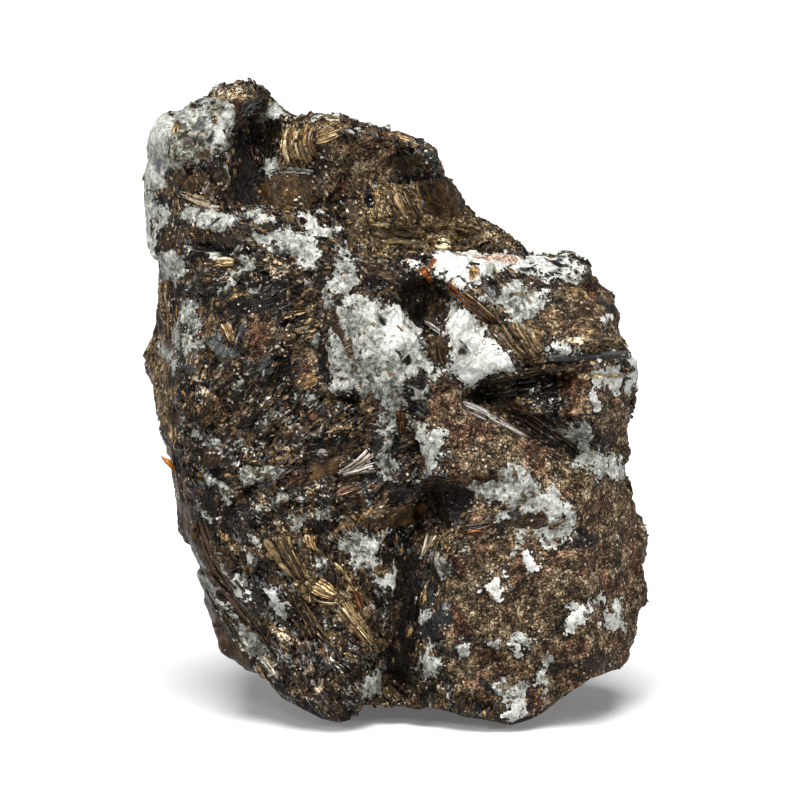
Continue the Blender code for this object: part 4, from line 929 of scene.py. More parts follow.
# The smoky colour is partly dark crystal and partly painted shade in the recess, pit, valley and wedge.
smoky_mask = edge("smoky", 4.0, 0.2) * bare * rise(packet_part[0], 0.82, 0.8)
smoky_colour = tones(fine * 0.4 + blades["Flake"] * 0.6, (0.38, 7, 5, 4), (0.5, 24, 18, 12), (0.58, 46, 34, 21),
                     (0.66, 92, 70, 44))
colour = over(smoky_mask, colour, smoky_colour)

amber_mask = edge("amber", 1.6, 0.15)
amber_colour = tones(coarse * 0.6 + blades["Streak"] * 0.4, (0.4, 26, 18, 11), (0.48, 62, 45, 25), (0.55, 90, 66, 37),
                     (0.64, 132, 100, 60))
colour = over(amber_mask * bare, colour, amber_colour)

sugar = use(grains, Place=place, Size=0.36)
milk = use(feldspar, Place=place, White=attribute(tree, "whiteness"))
uncovered = 1.0 - clast_edge * rise(attribute(tree, "clast_depth"), -0.3, 0.1)
granular_mask = edge("granular", 4.5, 0.2) * uncovered
colour = over(granular_mask, colour, sugar["Color"])
feldspar_edge = edge("feldspar", 2.9, 0.08)
feldspar_mask = feldspar_edge["Mask"] * uncovered
colour = shaded(colour, ramp(feldspar_edge["Joint"], (0.0, 1.0), (1.0, 0.25, 0.22, 0.2)))
colour = over(feldspar_mask, colour, milk["Color"])

bladed_mask = 1.0 - granular_mask.maths("MAXIMUM", feldspar_mask)
smooth_mask = smoky_mask.maths("MAXIMUM", amber_mask) * bladed_mask
rough = between(bladed_mask, 0.55, rise(piece_part[2], 0.0, 1.0, 0.16, 0.5))
rough = between(feldspar_mask, between(smooth_mask, rough, 0.14), 0.42)
chance = over(rise(grit_part[2], 0.55, 0.56), piece, grit)
chance = over(feldspar_mask, over(granular_mask, chance, sugar["Chance"]), milk["Chance"])
lean = between(bladed_mask, 1.0, broken) * between(smooth_mask, 1.1, 0.25)
height = between(bladed_mask, sugar["Height"], blades["Streak"] + blades["Seam"] * -0.6)
height = between(feldspar_mask, height, milk["Height"])
fill(shader, Base_Color=colour, Roughness=rough, Metallic=bronze_mask * bladed_mask * 0.45,
     Specular_IOR_Level=between(bronze_mask, 0.26, 0.5),
     Normal=bumpy(height, use(facets, Chance=chance, Lean=lean), 0.8, 0.0003))

for skin in skins:
    skin.data.materials.clear()
    skin.data.materials.append(broken_rock)
    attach(skin, "root")
    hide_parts("astrophyllite_rock")


# ---- Blades laid in fans and bundles ---------------------------------------------------------------------------
# Astrophyllite grows in sheaves of thin brittle laths, side by side. Each sheaf here is one broken open along its
# length, sunk in the rock: bronze and gold ones, smoky flat ones and a few pale ones whose near-white tone is partly
# painted highlight. Each lath's walls and ends take a darker copy of its tone: painted shade.

# Each sheaf: where its laths start, what they pass and where they end, all as x, z, x, z from the first lath to the
# last, then how many laths, their tone and how far they stand out of the rock in millimetres.
SHEAVES = {
    "top fan": ([-17.2, 84.2, -14.8, 83.5, -12.4, 83.5, -11.2, 85], [-17.2, 87, -15.6, 87, -13.8, 86.8, -12.4, 87],
        [-16.2, 89.6, -14.6, 90.1, -12.8, 90.2, -11.4, 90], 17, "fawn", 0.35),
    "slate curl": ([-23.4, 91.2, -22.6, 90.4], [-22.6, 93, -21.4, 91.8], [-20.4, 93.6, -19.8, 92.6], 5, "slate", 0.4),
    "needles": ([-32.4, 79.8, -32.2, 78.8], [-29.6, 79, -29.4, 77.5], [-26.4, 78.2, -26, 76.3], 9, "pale", 0.3),
    "top leaf": ([-12, 86.7, -12.1, 87.4, -12.1, 88.2], [-10.2, 87, -10.2, 88.2, -10.6, 89.2],
        [-7.6, 88.6, -6, 89.9, -9, 90.3], 7, "fawn", 0.4),
    "top ridge": ([-12.6, 90.2, -12, 90.8], [-9.4, 90.2, -9.4, 91.1], [-6.2, 90, -6.6, 91], 3, "pale", 0.3),
    "recess blade": ([-21.6, 86.8, -20.2, 86.8], [-21.8, 85, -19.8, 84.8], [-20.8, 83, -19.8, 83.2], 4, "brown", 0.5),
    "grey lens over the block": ([-17.8, 83, -17.6, 82.4], [-15, 83.2, -15, 82.3],
        [-12.2, 82.8, -12.2, 82.2], 3, "silver", 0.35),
    "ribs": ([-1.8, 80.4, 0.2, 80.9, 1.6, 80], [-1, 77.8, 1, 77.6, 2.8, 77.2],
        [0.6, 75.4, 2.4, 74.6, 4.4, 75], 7, "bronze", 0.5),
    "gold shoulder": ([0.6, 88, 1.2, 86.6], [2, 87.6, 2.4, 86.2], [3.2, 87, 3.8, 85.6], 6, "fawn", 0.25),
    "olive field": ([-4.8, 75.2, -3.6, 73, -1.6, 70.8], [-1.2, 75, -0.4, 73, 1.4, 70.8],
        [2, 75, 3.4, 73, 5, 71], 7, "olive", 0.25),
    "gold knot": ([5.8, 72.4, 5.9, 70.9], [7, 73, 7.2, 70.4], [8.3, 72.2, 8.3, 70.9], 4, "gold", 0.5),
    "orange edge": ([7.2, 65.9, 7.6, 65], [10.8, 63.4, 10.2, 62.7], [14.6, 59.9, 13.6, 59.7], 4, "amber", 0.55),
    "brown edge": ([9.8, 65.2, 8.8, 64.4], [12.8, 63, 11.6, 62], [15.2, 60.6, 14.4, 60], 5, "bronze", 0.35),
    "silver blade": ([3.9, 60.4, 4.2, 59.8], [5.8, 59.6, 5.6, 58.8], [8, 57.8, 7.7, 57.3], 3, "silver", 0.6),
    "pit's foot": ([4.8, 58, 7.2, 58.4], [5, 56, 7.8, 56], [5.6, 53.2, 7.9, 53.4], 6, "brown", 0.4),
    "ribs under the ledge": ([13.8, 59, 16, 60, 20.6, 60.2], [15.4, 57.4, 18, 57, 21.4, 57.4],
        [17, 55.6, 20, 54.4, 22.6, 55.2], 11, "bronze", 0.45),
    "brow": ([12.2, 51.4, 13, 50.6], [18, 52.8, 18.4, 51.6], [24.4, 54, 24.4, 52.6], 5, "olive", 0.4),
    "wedge's upper face": ([12.2, 50, 12, 48.6], [18, 51, 18, 48.4], [24.2, 52.4, 24.2, 49.2], 5, "dark", 0.2),
    "wedge's lower face": ([14.4, 47.4, 16, 45.4], [19.4, 46.6, 19, 43.8],
        [27.8, 41.2, 24.4, 40.4], 6, "brown", 0.35),
    # The bright streak, its tail and the silver bundle: pale laths whose near-white tone is partly a painted
    # highlight.
    "bright streak": ([9.8, 48.6, 9.6, 46.9], [12, 47.7, 11.5, 46.1], [14.4, 46.4, 13.8, 45], 8, "white", 0.4),
    "streak's tail": ([13.8, 46.7, 13.4, 45.4], [16.6, 45, 16.3, 44], [20.4, 42.7, 20.1, 42.3], 5, "white", 0.4),
    "silver bundle": ([-8.9, 37.6, -8.6, 37.1, -8.2, 36.6], [-6.2, 39.2, -5.9, 38.1, -5.6, 37.2],
        [-4.2, 41.3, -3, 39.6, -2.9, 37.3], 9, "white", 0.5),
    "pink blade": ([-9.2, 34.3, -9, 33.7], [-7.4, 35.6, -7, 34.4], [-5.2, 35.9, -5, 35.3], 3, "rose", 0.5),
    "red grain": ([-15.8, 37.4, -15.6, 36], [-14.8, 37.8, -14.6, 36], [-13.9, 37.4, -13.8, 36.4], 3, "amber", 0.5),
    "gold lath": ([-17.4, 61, -17, 60.4], [-15.4, 61.6, -15.2, 60.8], [-13.4, 62, -13.6, 61.4], 3, "gold", 0.5),
    "gold knot, left": ([-27.2, 69.6, -27, 68.6], [-25.6, 69.8, -25.6, 68.3],
        [-24, 69.4, -24.2, 68.6], 6, "fawn", 0.35),
    "gold scales": ([-26.4, 59.8, -25, 60], [-25.6, 58.4, -24.4, 58.4], [-25, 57, -24.2, 57], 5, "fawn", 0.35),
    "swirl": ([-12.9, 19.6, -12.6, 20.6, -11.8, 21.8], [-11.6, 18.8, -11, 19.6, -10, 20.9],
        [-9, 18.2, -8.8, 18.8, -9, 19.4], 9, "gold", 0.55),
    "swirl's rim": ([-13, 19.6, -12.8, 19.1], [-11.6, 18.3, -11.3, 17.8], [-8.6, 18, -8.6, 17.4], 3, "pale", 0.7),
    "kite blade": ([-7.6, 20, -5.4, 19.8], [-6.4, 18.4, -4.9, 18.2], [-5.4, 16.4, -4.9, 16.4], 4, "amber", 0.5),
    "feather": ([-9.2, 17, -8.4, 17.6, -7.2, 18.2], [-7.4, 14.6, -6.4, 15, -5.4, 15.4],
        [-4.2, 11, -3.2, 11.2, -2.6, 11.4], 12, "fawn", 0.45),
    "gold lath, low": ([-9.4, 23.9, -8.8, 24], [-8, 22, -7.4, 22.2], [-7, 20.6, -6.4, 20.6], 2, "gold", 0.5),
    "brown lens": ([-10.8, 23.8, -8.6, 23.2], [-10.4, 22.2, -7.8, 22], [-9.6, 20.4, -7.8, 20.6], 4, "brown", 0.45),
    "curved ribs": ([-20.4, 28, -18.6, 28.4, -16, 28.4], [-19.2, 25.4, -17.2, 25.4, -14.8, 25],
        [-16.6, 22.2, -15, 21.4, -13, 21], 9, "bronze", 0.45),
    "curved ribs, low": ([-16.4, 20.8, -13.4, 17.8], [-14.6, 16.8, -11.4, 14.8],
        [-12.4, 12.4, -8.4, 11], 7, "bronze", 0.4),
    "gold drop": ([-13.8, 28.2, -12.4, 28.2], [-13.6, 27, -12.2, 26.8], [-12.6, 25.8, -11.8, 25.6], 5, "fawn", 0.35),
    "flank": ([-30.8, 33, -28.8, 33], [-28.6, 25.4, -26.8, 26], [-24, 18.8, -22.6, 19.8], 3, "brown", 0.25),
    "lower flank": ([-29, 20.4, -27.6, 20], [-26.4, 15.4, -25, 15.6], [-23.2, 10, -21.6, 9.8], 5, "dark", 0.25),
    "flank's seam": ([-28.6, 22.4, -27, 23], [-23.6, 16.4, -22.2, 17.2], [-18.8, 10.4, -17.4, 11.2], 3, "brown", 0.2),
    # Pale laths whose tone stands for glints: painted glints on the lower flank.
    "flank of painted glints": ([-20.6, 10, -19.4, 10], [-19, 8.2, -18.2, 8.8], [-17.8, 6, -17.2, 7], 4, "pale", 0.4),
    "left rim, top": ([-35.4, 65.6, -34.2, 65.2], [-34.9, 61.6, -33.5, 61.4],
        [-34.6, 57.4, -33.4, 57], 6, "bronze", 0.25),
    "left rim, middle": ([-35.6, 53.6, -33.6, 53.4], [-35.6, 50, -33.8, 49.6], [-34.8, 46, -33, 46], 8, "olive", 0.2),
    "left rim, low": ([-34.6, 43.8, -32.6, 44], [-33.6, 38.4, -31.8, 38.6], [-32.4, 32, -30.8, 32], 8, "dark", 0.3),
    "valley's fan": ([3.6, 24.8, 4.4, 24.6], [4.2, 26.8, 5.4, 26.4], [4.4, 28.6, 7, 28], 6, "pale", 0.5),
    "long blade": ([8.8, 29.2, 9, 28.6], [12, 29.8, 12.2, 28.8], [15.4, 30.2, 15.4, 29.8], 3, "brown", 0.5),
    "brown blade": ([10.6, 28.6, 10.8, 28.1], [12, 28.9, 12.2, 28.2], [13.8, 28.7, 13.8, 28.3], 2, "amber", 0.5),
    "orange blade": ([22.6, 29.3, 22.8, 28.8], [24, 30, 24.2, 29.2], [25.4, 30.5, 25.5, 30.2], 2, "bronze", 0.55),
    "over the prism": ([27.6, 57.2, 27.6, 55.7], [31, 57.8, 31, 55.9], [34.4, 57, 34.4, 56.1], 4, "bronze", 0.3),
    "vein's brown blade": ([0, 46.6, 1.2, 46.4], [0.2, 45.6, 1.3, 45.4], [0.6, 43.4, 1, 43.4], 3, "amber", 0.5),
    "dark sliver": ([-2.6, 60.8, -2.2, 60.9], [-2.2, 60, -1.7, 60.1], [-1.6, 59.4, -1.2, 59.5], 2, "dark", 0.6),
    "needle": ([9.4, 57.5, 9.7, 57.3], [10.2, 56.4, 10.5, 56.4], [11.2, 55.5, 11.3, 55.4], 2, "dark", 0.6),
    "vein's dark grain": ([9.4, 56.2, 10.4, 56], [9.5, 55.6, 10.6, 55.4], [9.8, 55, 10.4, 55], 2, "brown", 0.5),
}
# The tones of a sheaf's laths, from its darkest to its lightest.
LATH_TONES = {
    "bronze": [(42, 32, 20), (86, 67, 42), (128, 103, 67), (182, 153, 108)],
    "gold": [(120, 94, 58), (206, 168, 110), (250, 218, 158), (255, 244, 210)],
    "fawn": [(102, 79, 49), (178, 141, 91), (230, 192, 134), (250, 230, 190)],
    "olive": [(42, 35, 23), (80, 66, 43), (112, 93, 61), (148, 124, 84)],
    "brown": [(32, 23, 15), (58, 42, 27), (80, 59, 38), (100, 76, 49)],
    "dark": [(13, 11, 8), (26, 21, 15), (40, 32, 23), (62, 50, 34)],
    "slate": [(34, 38, 38), (60, 65, 64), (86, 91, 89), (128, 131, 127)],
    "silver": [(112, 110, 104), (150, 147, 140), (190, 186, 178), (226, 222, 214)],
    "pale": [(120, 100, 72), (176, 154, 118), (220, 202, 170), (246, 236, 216)],
    # The white and silver ladders are pale laths whose lightest tones are partly painted highlight.
    "white": [(70, 60, 50), (190, 172, 152), (236, 226, 214), (252, 248, 242)],
    "rose": [(104, 70, 48), (168, 126, 98), (206, 168, 140), (228, 204, 184)],
    "amber": [(48, 27, 13), (98, 54, 24), (144, 83, 36), (194, 120, 56)],
}
SUNK_MM = 0.35
STATIONS = 9  # sections along a sheaf
SECTION = [(0.0, -1.0), (0.09, 0.0), (0.5, 1.0), (0.93, 0.0), (1.0, -1.0)]  # across a lath: sunk edges and a low crest
# Walls and end caps take their lath's tone darkened by these factors: painted shade in the creases where laths meet
# and sink into the rock.
LIT_SIDES = (1, 2)  # the two faces of a section that aren't its walls or its back
WALL_PAINTED_SHADE = 0.3
END_PAINTED_SHADE = 0.5
CREST_MM = 0.02
OWN_SHIFT_MM = 31.0  # sets each sheaf's grain apart from the next one's
WIDTH_SPREAD = 0.7  # how uneven the laths' widths are
LATH_BEND, SHEAF_BEND = 0.22, 0.2  # how much laths bend one by one and all together
RAGGED_END = 0.14  # a lath may stop this share of its length short at either end
LIFT_SPREAD, LEAN_MM, SLOPE_MM, RIPPLE_MM = 0.35, 0.14, 0.12, 0.03  # how differently lengths of lath lie


def sight_line(place):
    """The direction from the lens through a place (x, z) on the front."""
    offset = np.array(place) - AIM_ON_FRONT_MM
    line = sight * (VIEW_DISTANCE / MM) + rightward * offset[0] + upward * offset[1]
    return line / np.linalg.norm(line)


def distance_to_skin(place):
    """How far in millimetres the skin is along the sight line, or nan beside the rock."""
    hit = rock_tree.ray_cast(camera.location, Vector(sight_line(place)))
    return hit[3] / MM if hit[3] else math.nan


def along_list(places, share_along):
    """The place a share of the way along an array of places."""
    spot = share_along * (len(places) - 1)
    index = min(int(spot), len(places) - 2)
    return places[index] + (places[index + 1] - places[index]) * (spot - index)


def curve_place(lines, s, t):
    """A place on a sheaf, s along its laths and t across them."""
    a, m, b = [along_list(line, t) for line in lines]
    pull = 2.0 * m - (a + b) / 2.0
    return (1.0 - s) ** 2 * a + 2.0 * s * (1.0 - s) * pull + s * s * b


def lay_sheaf(lines, count, proud, random):
    """One sheaf of laths, each broken into closed lengths: its points, their places on their own lath, its quads, and
    each quad's lath number and painted shade factor, below 1 on walls and ends."""
    edges = np.concatenate([[0.0], np.cumsum(random.lognormal(0.0, WIDTH_SPREAD, count))])
    edges /= edges[-1]
    stops, bend_stops = np.linspace(0.0, 1.0, STATIONS), np.linspace(0.0, 1.0, 5)
    bends = random.normal(0.0, LATH_BEND / count, (5, count + 1)) + random.normal(0.0, SHEAF_BEND / count, (5, 1))
    middles = (edges[:-1] + edges[1:]) / 2
    base = np.array([[distance_to_skin(curve_place(lines, s, t)) for t in middles] for s in stops])
    if np.isnan(base).all():
        return [], [], [], []
    base = np.where(np.isnan(base), np.nanmedian(base), base)
    padded = np.pad(base, ((1, 1), (1, 1)), "edge")
    base = sum(padded[i : i + STATIONS, j : j + count] for i in range(3) for j in range(3)) / 9.0
    points, own_places, quads, owners = [], [], [], []
    wide = len(SECTION)
    run = np.linalg.norm(curve_place(lines, 1.0, 0.5) - curve_place(lines, 0.0, 0.5))
    breadth = np.linalg.norm(curve_place(lines, 0.5, 1.0) - curve_place(lines, 0.5, 0.0))
    for lath in range(count):
        breaks = np.sort(random.uniform(0.15, 0.85, random.integers(0, 3)))
        limits = [random.uniform(0.0, RAGGED_END), *breaks, 1.0 - random.uniform(0.0, RAGGED_END)]
        for reach_start, reach_end in zip(limits[:-1], limits[1:]):
            lift = proud * (1.0 + random.normal(0.0, LIFT_SPREAD))
            lean, slope = random.normal(0.0, LEAN_MM), random.normal(0.0, SLOPE_MM)
            first = len(points)
            sections = max(3, round(STATIONS * (reach_end - reach_start)))
            for station, s in enumerate(np.linspace(reach_start, reach_end, sections)):
                through = station / (sections - 1)
                taper = 1.0 - 0.35 * abs(2.0 * through - 1.0) ** 3
                ripple = random.normal(0.0, RIPPLE_MM) + slope * (through - 0.5)
                depth = np.interp(s, stops, base[:, lath])
                left, right = [edges[side] + np.interp(s, bend_stops, bends[:, side]) for side in (lath, lath + 1)]
                for side, level in SECTION:
                    t = left + (right - left) * (0.5 + (side - 0.5) * taper)
                    height = -SUNK_MM
                    if level >= 0.0:
                        height = lift * taper + ripple + level * CREST_MM + (side - 0.5) * lean
                    points.append(lens_mm + sight_line(curve_place(lines, s, t)) * (depth - height))
                    own_places.append((s * run + 7.0 * lath, t * breadth, 3.0 * lath))
            for station in range(sections - 1):
                for side in range(wide):
                    a, b = first + station * wide + side, first + station * wide + (side + 1) % wide
                    quads.append((a, a + wide, b + wide, b))
                    owners.append((lath, 1.0 if side in LIT_SIDES else WALL_PAINTED_SHADE))
            last = first + (sections - 1) * wide
            quads += [(first, first + 1, first + 3, first + 4), (first + 1, first + 2, first + 3, first + 3)]
            quads += [(last + 4, last + 3, last + 1, last), (last + 3, last + 2, last + 1, last + 1)]
            owners += [(lath, END_PAINTED_SHADE)] * 4
    return points, own_places, quads, owners


def crystal_material(name, metal, roughness, contrast, lean):
    """A crystal's own tone with fine lines along it, cracks across it, grit and painted glints: rare pale specks."""
    material, tree, shader, _ = new_material(name)
    own = attribute(tree, "own_place", "Vector")
    grit = cells(own * (2.2, 5.0, 5.0))["Color"]
    chance = split(grit)
    lines, cracks = noises(own * (0.5, 3.2, 3.2), 1.0, 3.0, 0.7), noises(own * (1.5, 0.7, 0.7), 1.0, 4.0, 0.7)
    light = chance[0] ** 2.0 * (1.2 * contrast) + (1.0 - 0.36 * contrast)
    light *= rise(lines, 0.34, 0.66, 1.0 - 0.85 * contrast, 1.0 + 0.85 * contrast)
    light *= rise(cracks, 0.36, 0.46, 1.0 - 0.85 * contrast, 1.0)
    colour = shaded(attribute(tree, "tone", "Color"), light)
    # Painted glints: rare specks turn near-white.
    fill(shader, Base_Color=over(rise(chance[1], 0.97, 0.975) * contrast, colour, tone(240, 226, 198)),
         Roughness=rise(chance[2], 0.0, 1.0, roughness * 0.6, roughness * 1.4),
         Metallic=rise(lines, 0.4, 0.6, metal * 0.6, metal),
         Normal=bumpy(lines + cracks, use(facets, Chance=grit, Lean=lean), 0.5, 0.00018))
    return material


def crystal_piece(name, points, faces, face_tones, own_places, *finish):
    """A piece from points in millimetres and triangles, with each face's tone and each point's place on its crystal.
    The finish is its material's name, metal, roughness, contrast and lean."""
    mesh = bpy.data.meshes.new(name)
    mesh.vertices.add(len(points))
    made = bpy.data.objects.new(name, mesh)
    link_object(made)
    move_to(made, np.asarray(points))
    mesh.loops.add(3 * len(faces))
    mesh.loops.foreach_set("vertex_index", np.asarray(faces, np.int32).ravel())
    mesh.polygons.add(len(faces))
    mesh.polygons.foreach_set("loop_start", np.arange(0, 3 * len(faces), 3, dtype=np.int32))
    mesh.update(calc_edges=True)
    keep(mesh, "tone", "FLOAT_COLOR", "FACE", face_tones)
    keep(mesh, "own_place", "FLOAT_VECTOR", "POINT", own_places)
    mesh.materials.append(crystal_material(*finish))
    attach(made, "root")


def lay_sheaves(name, kinds, *finish):
    """All sheaves of certain tones as one piece."""
    points, triangles, face_tones, own_places = [], [], [], []
    for number, (*lines, count, kind, proud) in enumerate(SHEAVES.values()):
        if kind not in kinds:
            continue
        random = np.random.default_rng(400 + number)
        lines = [np.reshape(line, (-1, 2)).astype(float) for line in lines]
        made, places, quads, owners = lay_sheaf(lines, count, proud, random)
        light = random.beta(1.4, 1.5, count)
        ladder = np.array([tone(*step) for step in LATH_TONES[kind]])
        lath_tone = np.stack([np.interp(light, np.linspace(0, 1, len(ladder)), part) for part in ladder.T], axis=1)
        for (a, b, c, d), (owner, lit) in zip(quads, owners):
            corners = [(a, b, c)] if c == d else [(a, b, c), (a, c, d)]
            triangles += [tuple(corner + len(points) for corner in three) for three in corners]
            # lit is the painted shade factor: walls and ends get a darker copy of the lath's tone.
            face_tones += [lath_tone[owner] * lit * random.uniform(0.9, 1.1)] * len(corners)
        points += made
        own_places += [np.add(place, OWN_SHIFT_MM * number) for place in places]
    crystal_piece(name, points, triangles, face_tones, own_places, *finish)


lay_sheaves("bronze_blades", ("bronze", "gold", "fawn", "olive", "pale"), "bronze astrophyllite", 0.15, 0.36, 0.8, 0.4)
lay_sheaves("smooth_blades", ("brown", "dark", "slate", "amber"), "smoky crystal", 0.1, 0.2, 0.55, 0.25)
lay_sheaves("pale_blades_with_painted_highlights", ("silver", "white", "rose"), "silvery mica", 0.0, 0.3, 0.4, 0.4)


# ---- The black prism and the orange flake ----------------------------------------------------------------------
# A straight six-sided prism of aegirine, black and finely grooved along its length, grew through the rock near its
# right edge. A thin orange flake of mica stands out from the left edge.

PRISM_ENDS = np.array([(22.9, 54.5), (34.9, 55.1)])
PRISM_OUTLINE = [(-0.5, -1.0), (-0.5, -0.25), (-0.3, 0.0), (0.12, 0.06), (0.5, -0.3), (0.5, -1.0)]
# The upper face's lighter grey, (80, 81, 79), is a painted highlight along the prism's top edge.
PRISM_TONES_WITH_PAINTED_HIGHLIGHT = [(24, 23, 22), (35, 36, 36), (35, 36, 36), (80, 81, 79), (24, 23, 22), (24, 23, 22)]  # side by side
PRISM_END_TONE = (60, 52, 42)
PRISM_ACROSS_MM = 1.3
PRISM_DEEP_MM = 2.4
PRISM_PROUD_MM = 0.05
PRISM_SECTIONS = 25
STEEPEST_MM = 15.0  # how much nearer or farther one end may lie than the other

random = np.random.default_rng(61)
spots = np.linspace(0.0, 1.0, 13)
reaches = np.array([distance_to_skin(along_list(PRISM_ENDS, spot)) for spot in spots])
slopes = np.linspace(-STEEPEST_MM, STEEPEST_MM, 601)
starts = np.min(reaches - slopes[:, None] * spots, axis=1)  # the deepest start at each slope that buries nothing
best = np.argmax(starts + 0.5 * slopes)
near_end, far_end = [
    lens_mm + sight_line(end) * (starts[best] + slopes[best] * spot - PRISM_PROUD_MM)
    for end, spot in zip(PRISM_ENDS, (0.0, 1.0))
]
points, faces, face_tones, own_places = [], [], [], []
for section in range(PRISM_SECTIONS):
    through = section / (PRISM_SECTIONS - 1)
    centre = near_end + (far_end - near_end) * through
    swell = (0.78 + 0.22 * min(1.0, through * 5.0)) * (1.0 + random.normal(0.0, 0.025))
    for across, deep in PRISM_OUTLINE:
        points.append(centre + upward * (across * PRISM_ACROSS_MM * swell) - sight * (deep * PRISM_DEEP_MM))
        own_places.append((section * 0.5, across, deep))
sides = len(PRISM_OUTLINE)
for section in range(PRISM_SECTIONS - 1):
    for side in range(sides):
        a, b = section * sides + side, section * sides + (side + 1) % sides
        faces += [(a, a + sides, b + sides), (a, b + sides, b)]
        face_tones += [np.array(tone(*PRISM_TONES_WITH_PAINTED_HIGHLIGHT[side])) * random.uniform(0.85, 1.15)] * 2
last = (PRISM_SECTIONS - 1) * sides
for side in range(1, sides - 1):
    faces += [(0, side, side + 1), (last, last + side + 1, last + side)]
    face_tones += [tone(*PRISM_END_TONE)] * 2
crystal_piece("black_prism", points, faces, face_tones, own_places, "grooved black prism", 0.0, 0.3, 0.35, 0.1)

FLAKE_RIM = [(-33.2, 38.2), (-33.8, 39.3), (-35.4, 40.0), (-34.8, 39.0), (-33.0, 37.2)]
FLAKE_ROOT = (-32.4, 38.2)
FLAKE_BACK_MM = 0.4  # how far the flake lies behind its root
FLAKE_THICK_MM = 0.25
root = sight_line(FLAKE_ROOT) * distance_to_skin(FLAKE_ROOT)
rim = [lens_mm + sight_line(spot) * (root @ sight_line(spot) + FLAKE_BACK_MM) for spot in FLAKE_RIM]
points = rim + [spot + sight * FLAKE_THICK_MM for spot in rim]
count = len(rim)
faces = [(0, side, side + 1) for side in range(1, count - 1)]
faces += [(count, count + side + 1, count + side) for side in range(1, count - 1)]
for side in range(count):
    following = (side + 1) % count
    faces += [(side, side + count, following + count), (side, following + count, following)]
crystal_piece("orange_flake", points, faces, [tone(214, 132, 40)] * len(faces), points,
              "orange mica", 0.2, 0.25, 0.4, 0.2)


# ---- Chips and crumbs ------------------------------------------------------------------------------------------
# Where the rock broke, thousands of short laths and sugar grains stand out of it with their own flat faces. Each is
# a small closed block, most of it sunk in the skin.

BLOCK_CORNERS = np.array([(x, y, z) for z in (-1, 1) for y in (-1, 1) for x in (-1, 1)], float)
BLOCK_FACES = np.array([(0, 2, 3), (0, 3, 1), (4, 5, 7), (4, 7, 6), (0, 1, 5), (0, 5, 4),
                        (2, 6, 7), (2, 7, 3), (0, 4, 6), (0, 6, 2), (1, 3, 7), (1, 7, 5)])
SKEW = 0.28  # how far a block's corners are from square
BARE_FOOT_MM = 3.0  # no block sits lower than this
BLOCK_SUNK_MM = 0.1
STRAY = 0.45  # how far a block turns away from the blades, in radians
REAR_SHARE = 0.5  # how many blocks the rear has for each one that an area of the front has
CHIP_TONES = [(14, 11, 8), (26, 20, 14), (34, 26, 17), (48, 36, 23), (62, 47, 30), (84, 64, 40), (116, 90, 56),
              (150, 120, 78), (60, 60, 58), (110, 108, 102), (84, 54, 30)]
CRUMB_TONES = [(20, 15, 10), (40, 31, 21), (62, 49, 34), (84, 68, 48), (104, 85, 62), (128, 106, 80), (160, 134, 104),
               (196, 172, 144), (70, 50, 34), (112, 78, 62)]


def scatter(name, count, weigh, sizes, tilt, block_tones, seed, *finish):
    """Blocks strewn over the skins along the blades, as one piece with each block's tone."""
    random = np.random.default_rng(seed)
    fields = []
    for skin in skins:
        faces = skin.data.polygons
        corner = read(faces, "vertices", 3, np.int32)[:, 0]
        depths = {mineral: read(skin.data.attributes[mineral].data, "value")[corner] for mineral in minerals}
        area = read(faces, "area") * weigh(depths)
        fields.append((read_vectors(faces, "center") / MM, read_vectors(faces, "normal"), area))
    middles, normals, areas = [np.concatenate(field) for field in zip(*fields)]
    facing = np.clip(1.3 + 1.4 * normals[:, 0], 0.1, 1.0)
    upright = np.clip(3.0 * np.abs(normals[:, 1]), 0.04, 1.0)
    areas *= (middles[:, 2] > BARE_FOOT_MM) * (normals[:, 2] > -0.3) * facing * upright
    areas *= np.where(middles[:, 1] > SEAM_MM, REAR_SHARE, 1.0)
    picked = random.choice(len(areas), count, p=areas / areas.sum())
    up = normals[picked]
    place = middles[picked] + random.normal(0.0, 0.08, (count, 3)) - up * BLOCK_SUNK_MM
    turn = lie_at(on_front(place)) + random.normal(0.0, STRAY, count)
    along = np.stack([np.cos(turn), np.zeros(count), np.sin(turn)], axis=1) + random.normal(0.0, tilt, (count, 3))
    along -= up * (along * up).sum(axis=1, keepdims=True)
    along /= np.linalg.norm(along, axis=1, keepdims=True)
    across = np.cross(up + random.normal(0.0, tilt, (count, 3)), along)
    across /= np.linalg.norm(across, axis=1, keepdims=True)
    axes = np.stack([along, across, np.cross(along, across)], axis=1)
    half = np.stack([random.uniform(*span, count) for span in sizes], axis=1) / 2.0
    shapes = BLOCK_CORNERS * (1.0 + random.uniform(-SKEW, SKEW, (count, 8, 3)))
    shapes *= half[:, None]
    points = (place[:, None] + np.einsum("nki,nij->nkj", shapes, axes)).reshape(-1, 3)
    faces = (BLOCK_FACES + 8 * np.arange(count)[:, None, None]).reshape(-1, 3)
    ladder = np.array([tone(*step) for step in block_tones])
    chosen = ladder[random.integers(0, len(ladder), count)] * random.uniform(0.7, 1.3, (count, 1))
    face_tones = np.repeat(chosen, 12, axis=0) * random.uniform(0.8, 1.2, (count * 12, 1))
    own_places = shapes + random.uniform(0.0, 40.0, (count, 1, 3))
    crystal_piece(name, points, faces, face_tones, own_places, *finish)


def on_blades(depths):
    """How likely a chip of a blade is: all but none on feldspar, grains and smooth crystal."""
    off_smooth = np.clip(1.0 - np.maximum(depths["smoky"], depths["amber"]), 0.05, 1.0)
    return np.clip(0.6 - depths["feldspar"], 0.05, 1.0) * np.clip(0.5 - depths["granular"], 0.06, 1.0) * off_smooth


def on_sugar(depths):
    """How likely a crumb is: on the granular rock, off the feldspar."""
    return np.clip(0.4 - depths["feldspar"], 0.0, 1.0) * np.clip(0.5 + depths["granular"], 0.04, 1.0)


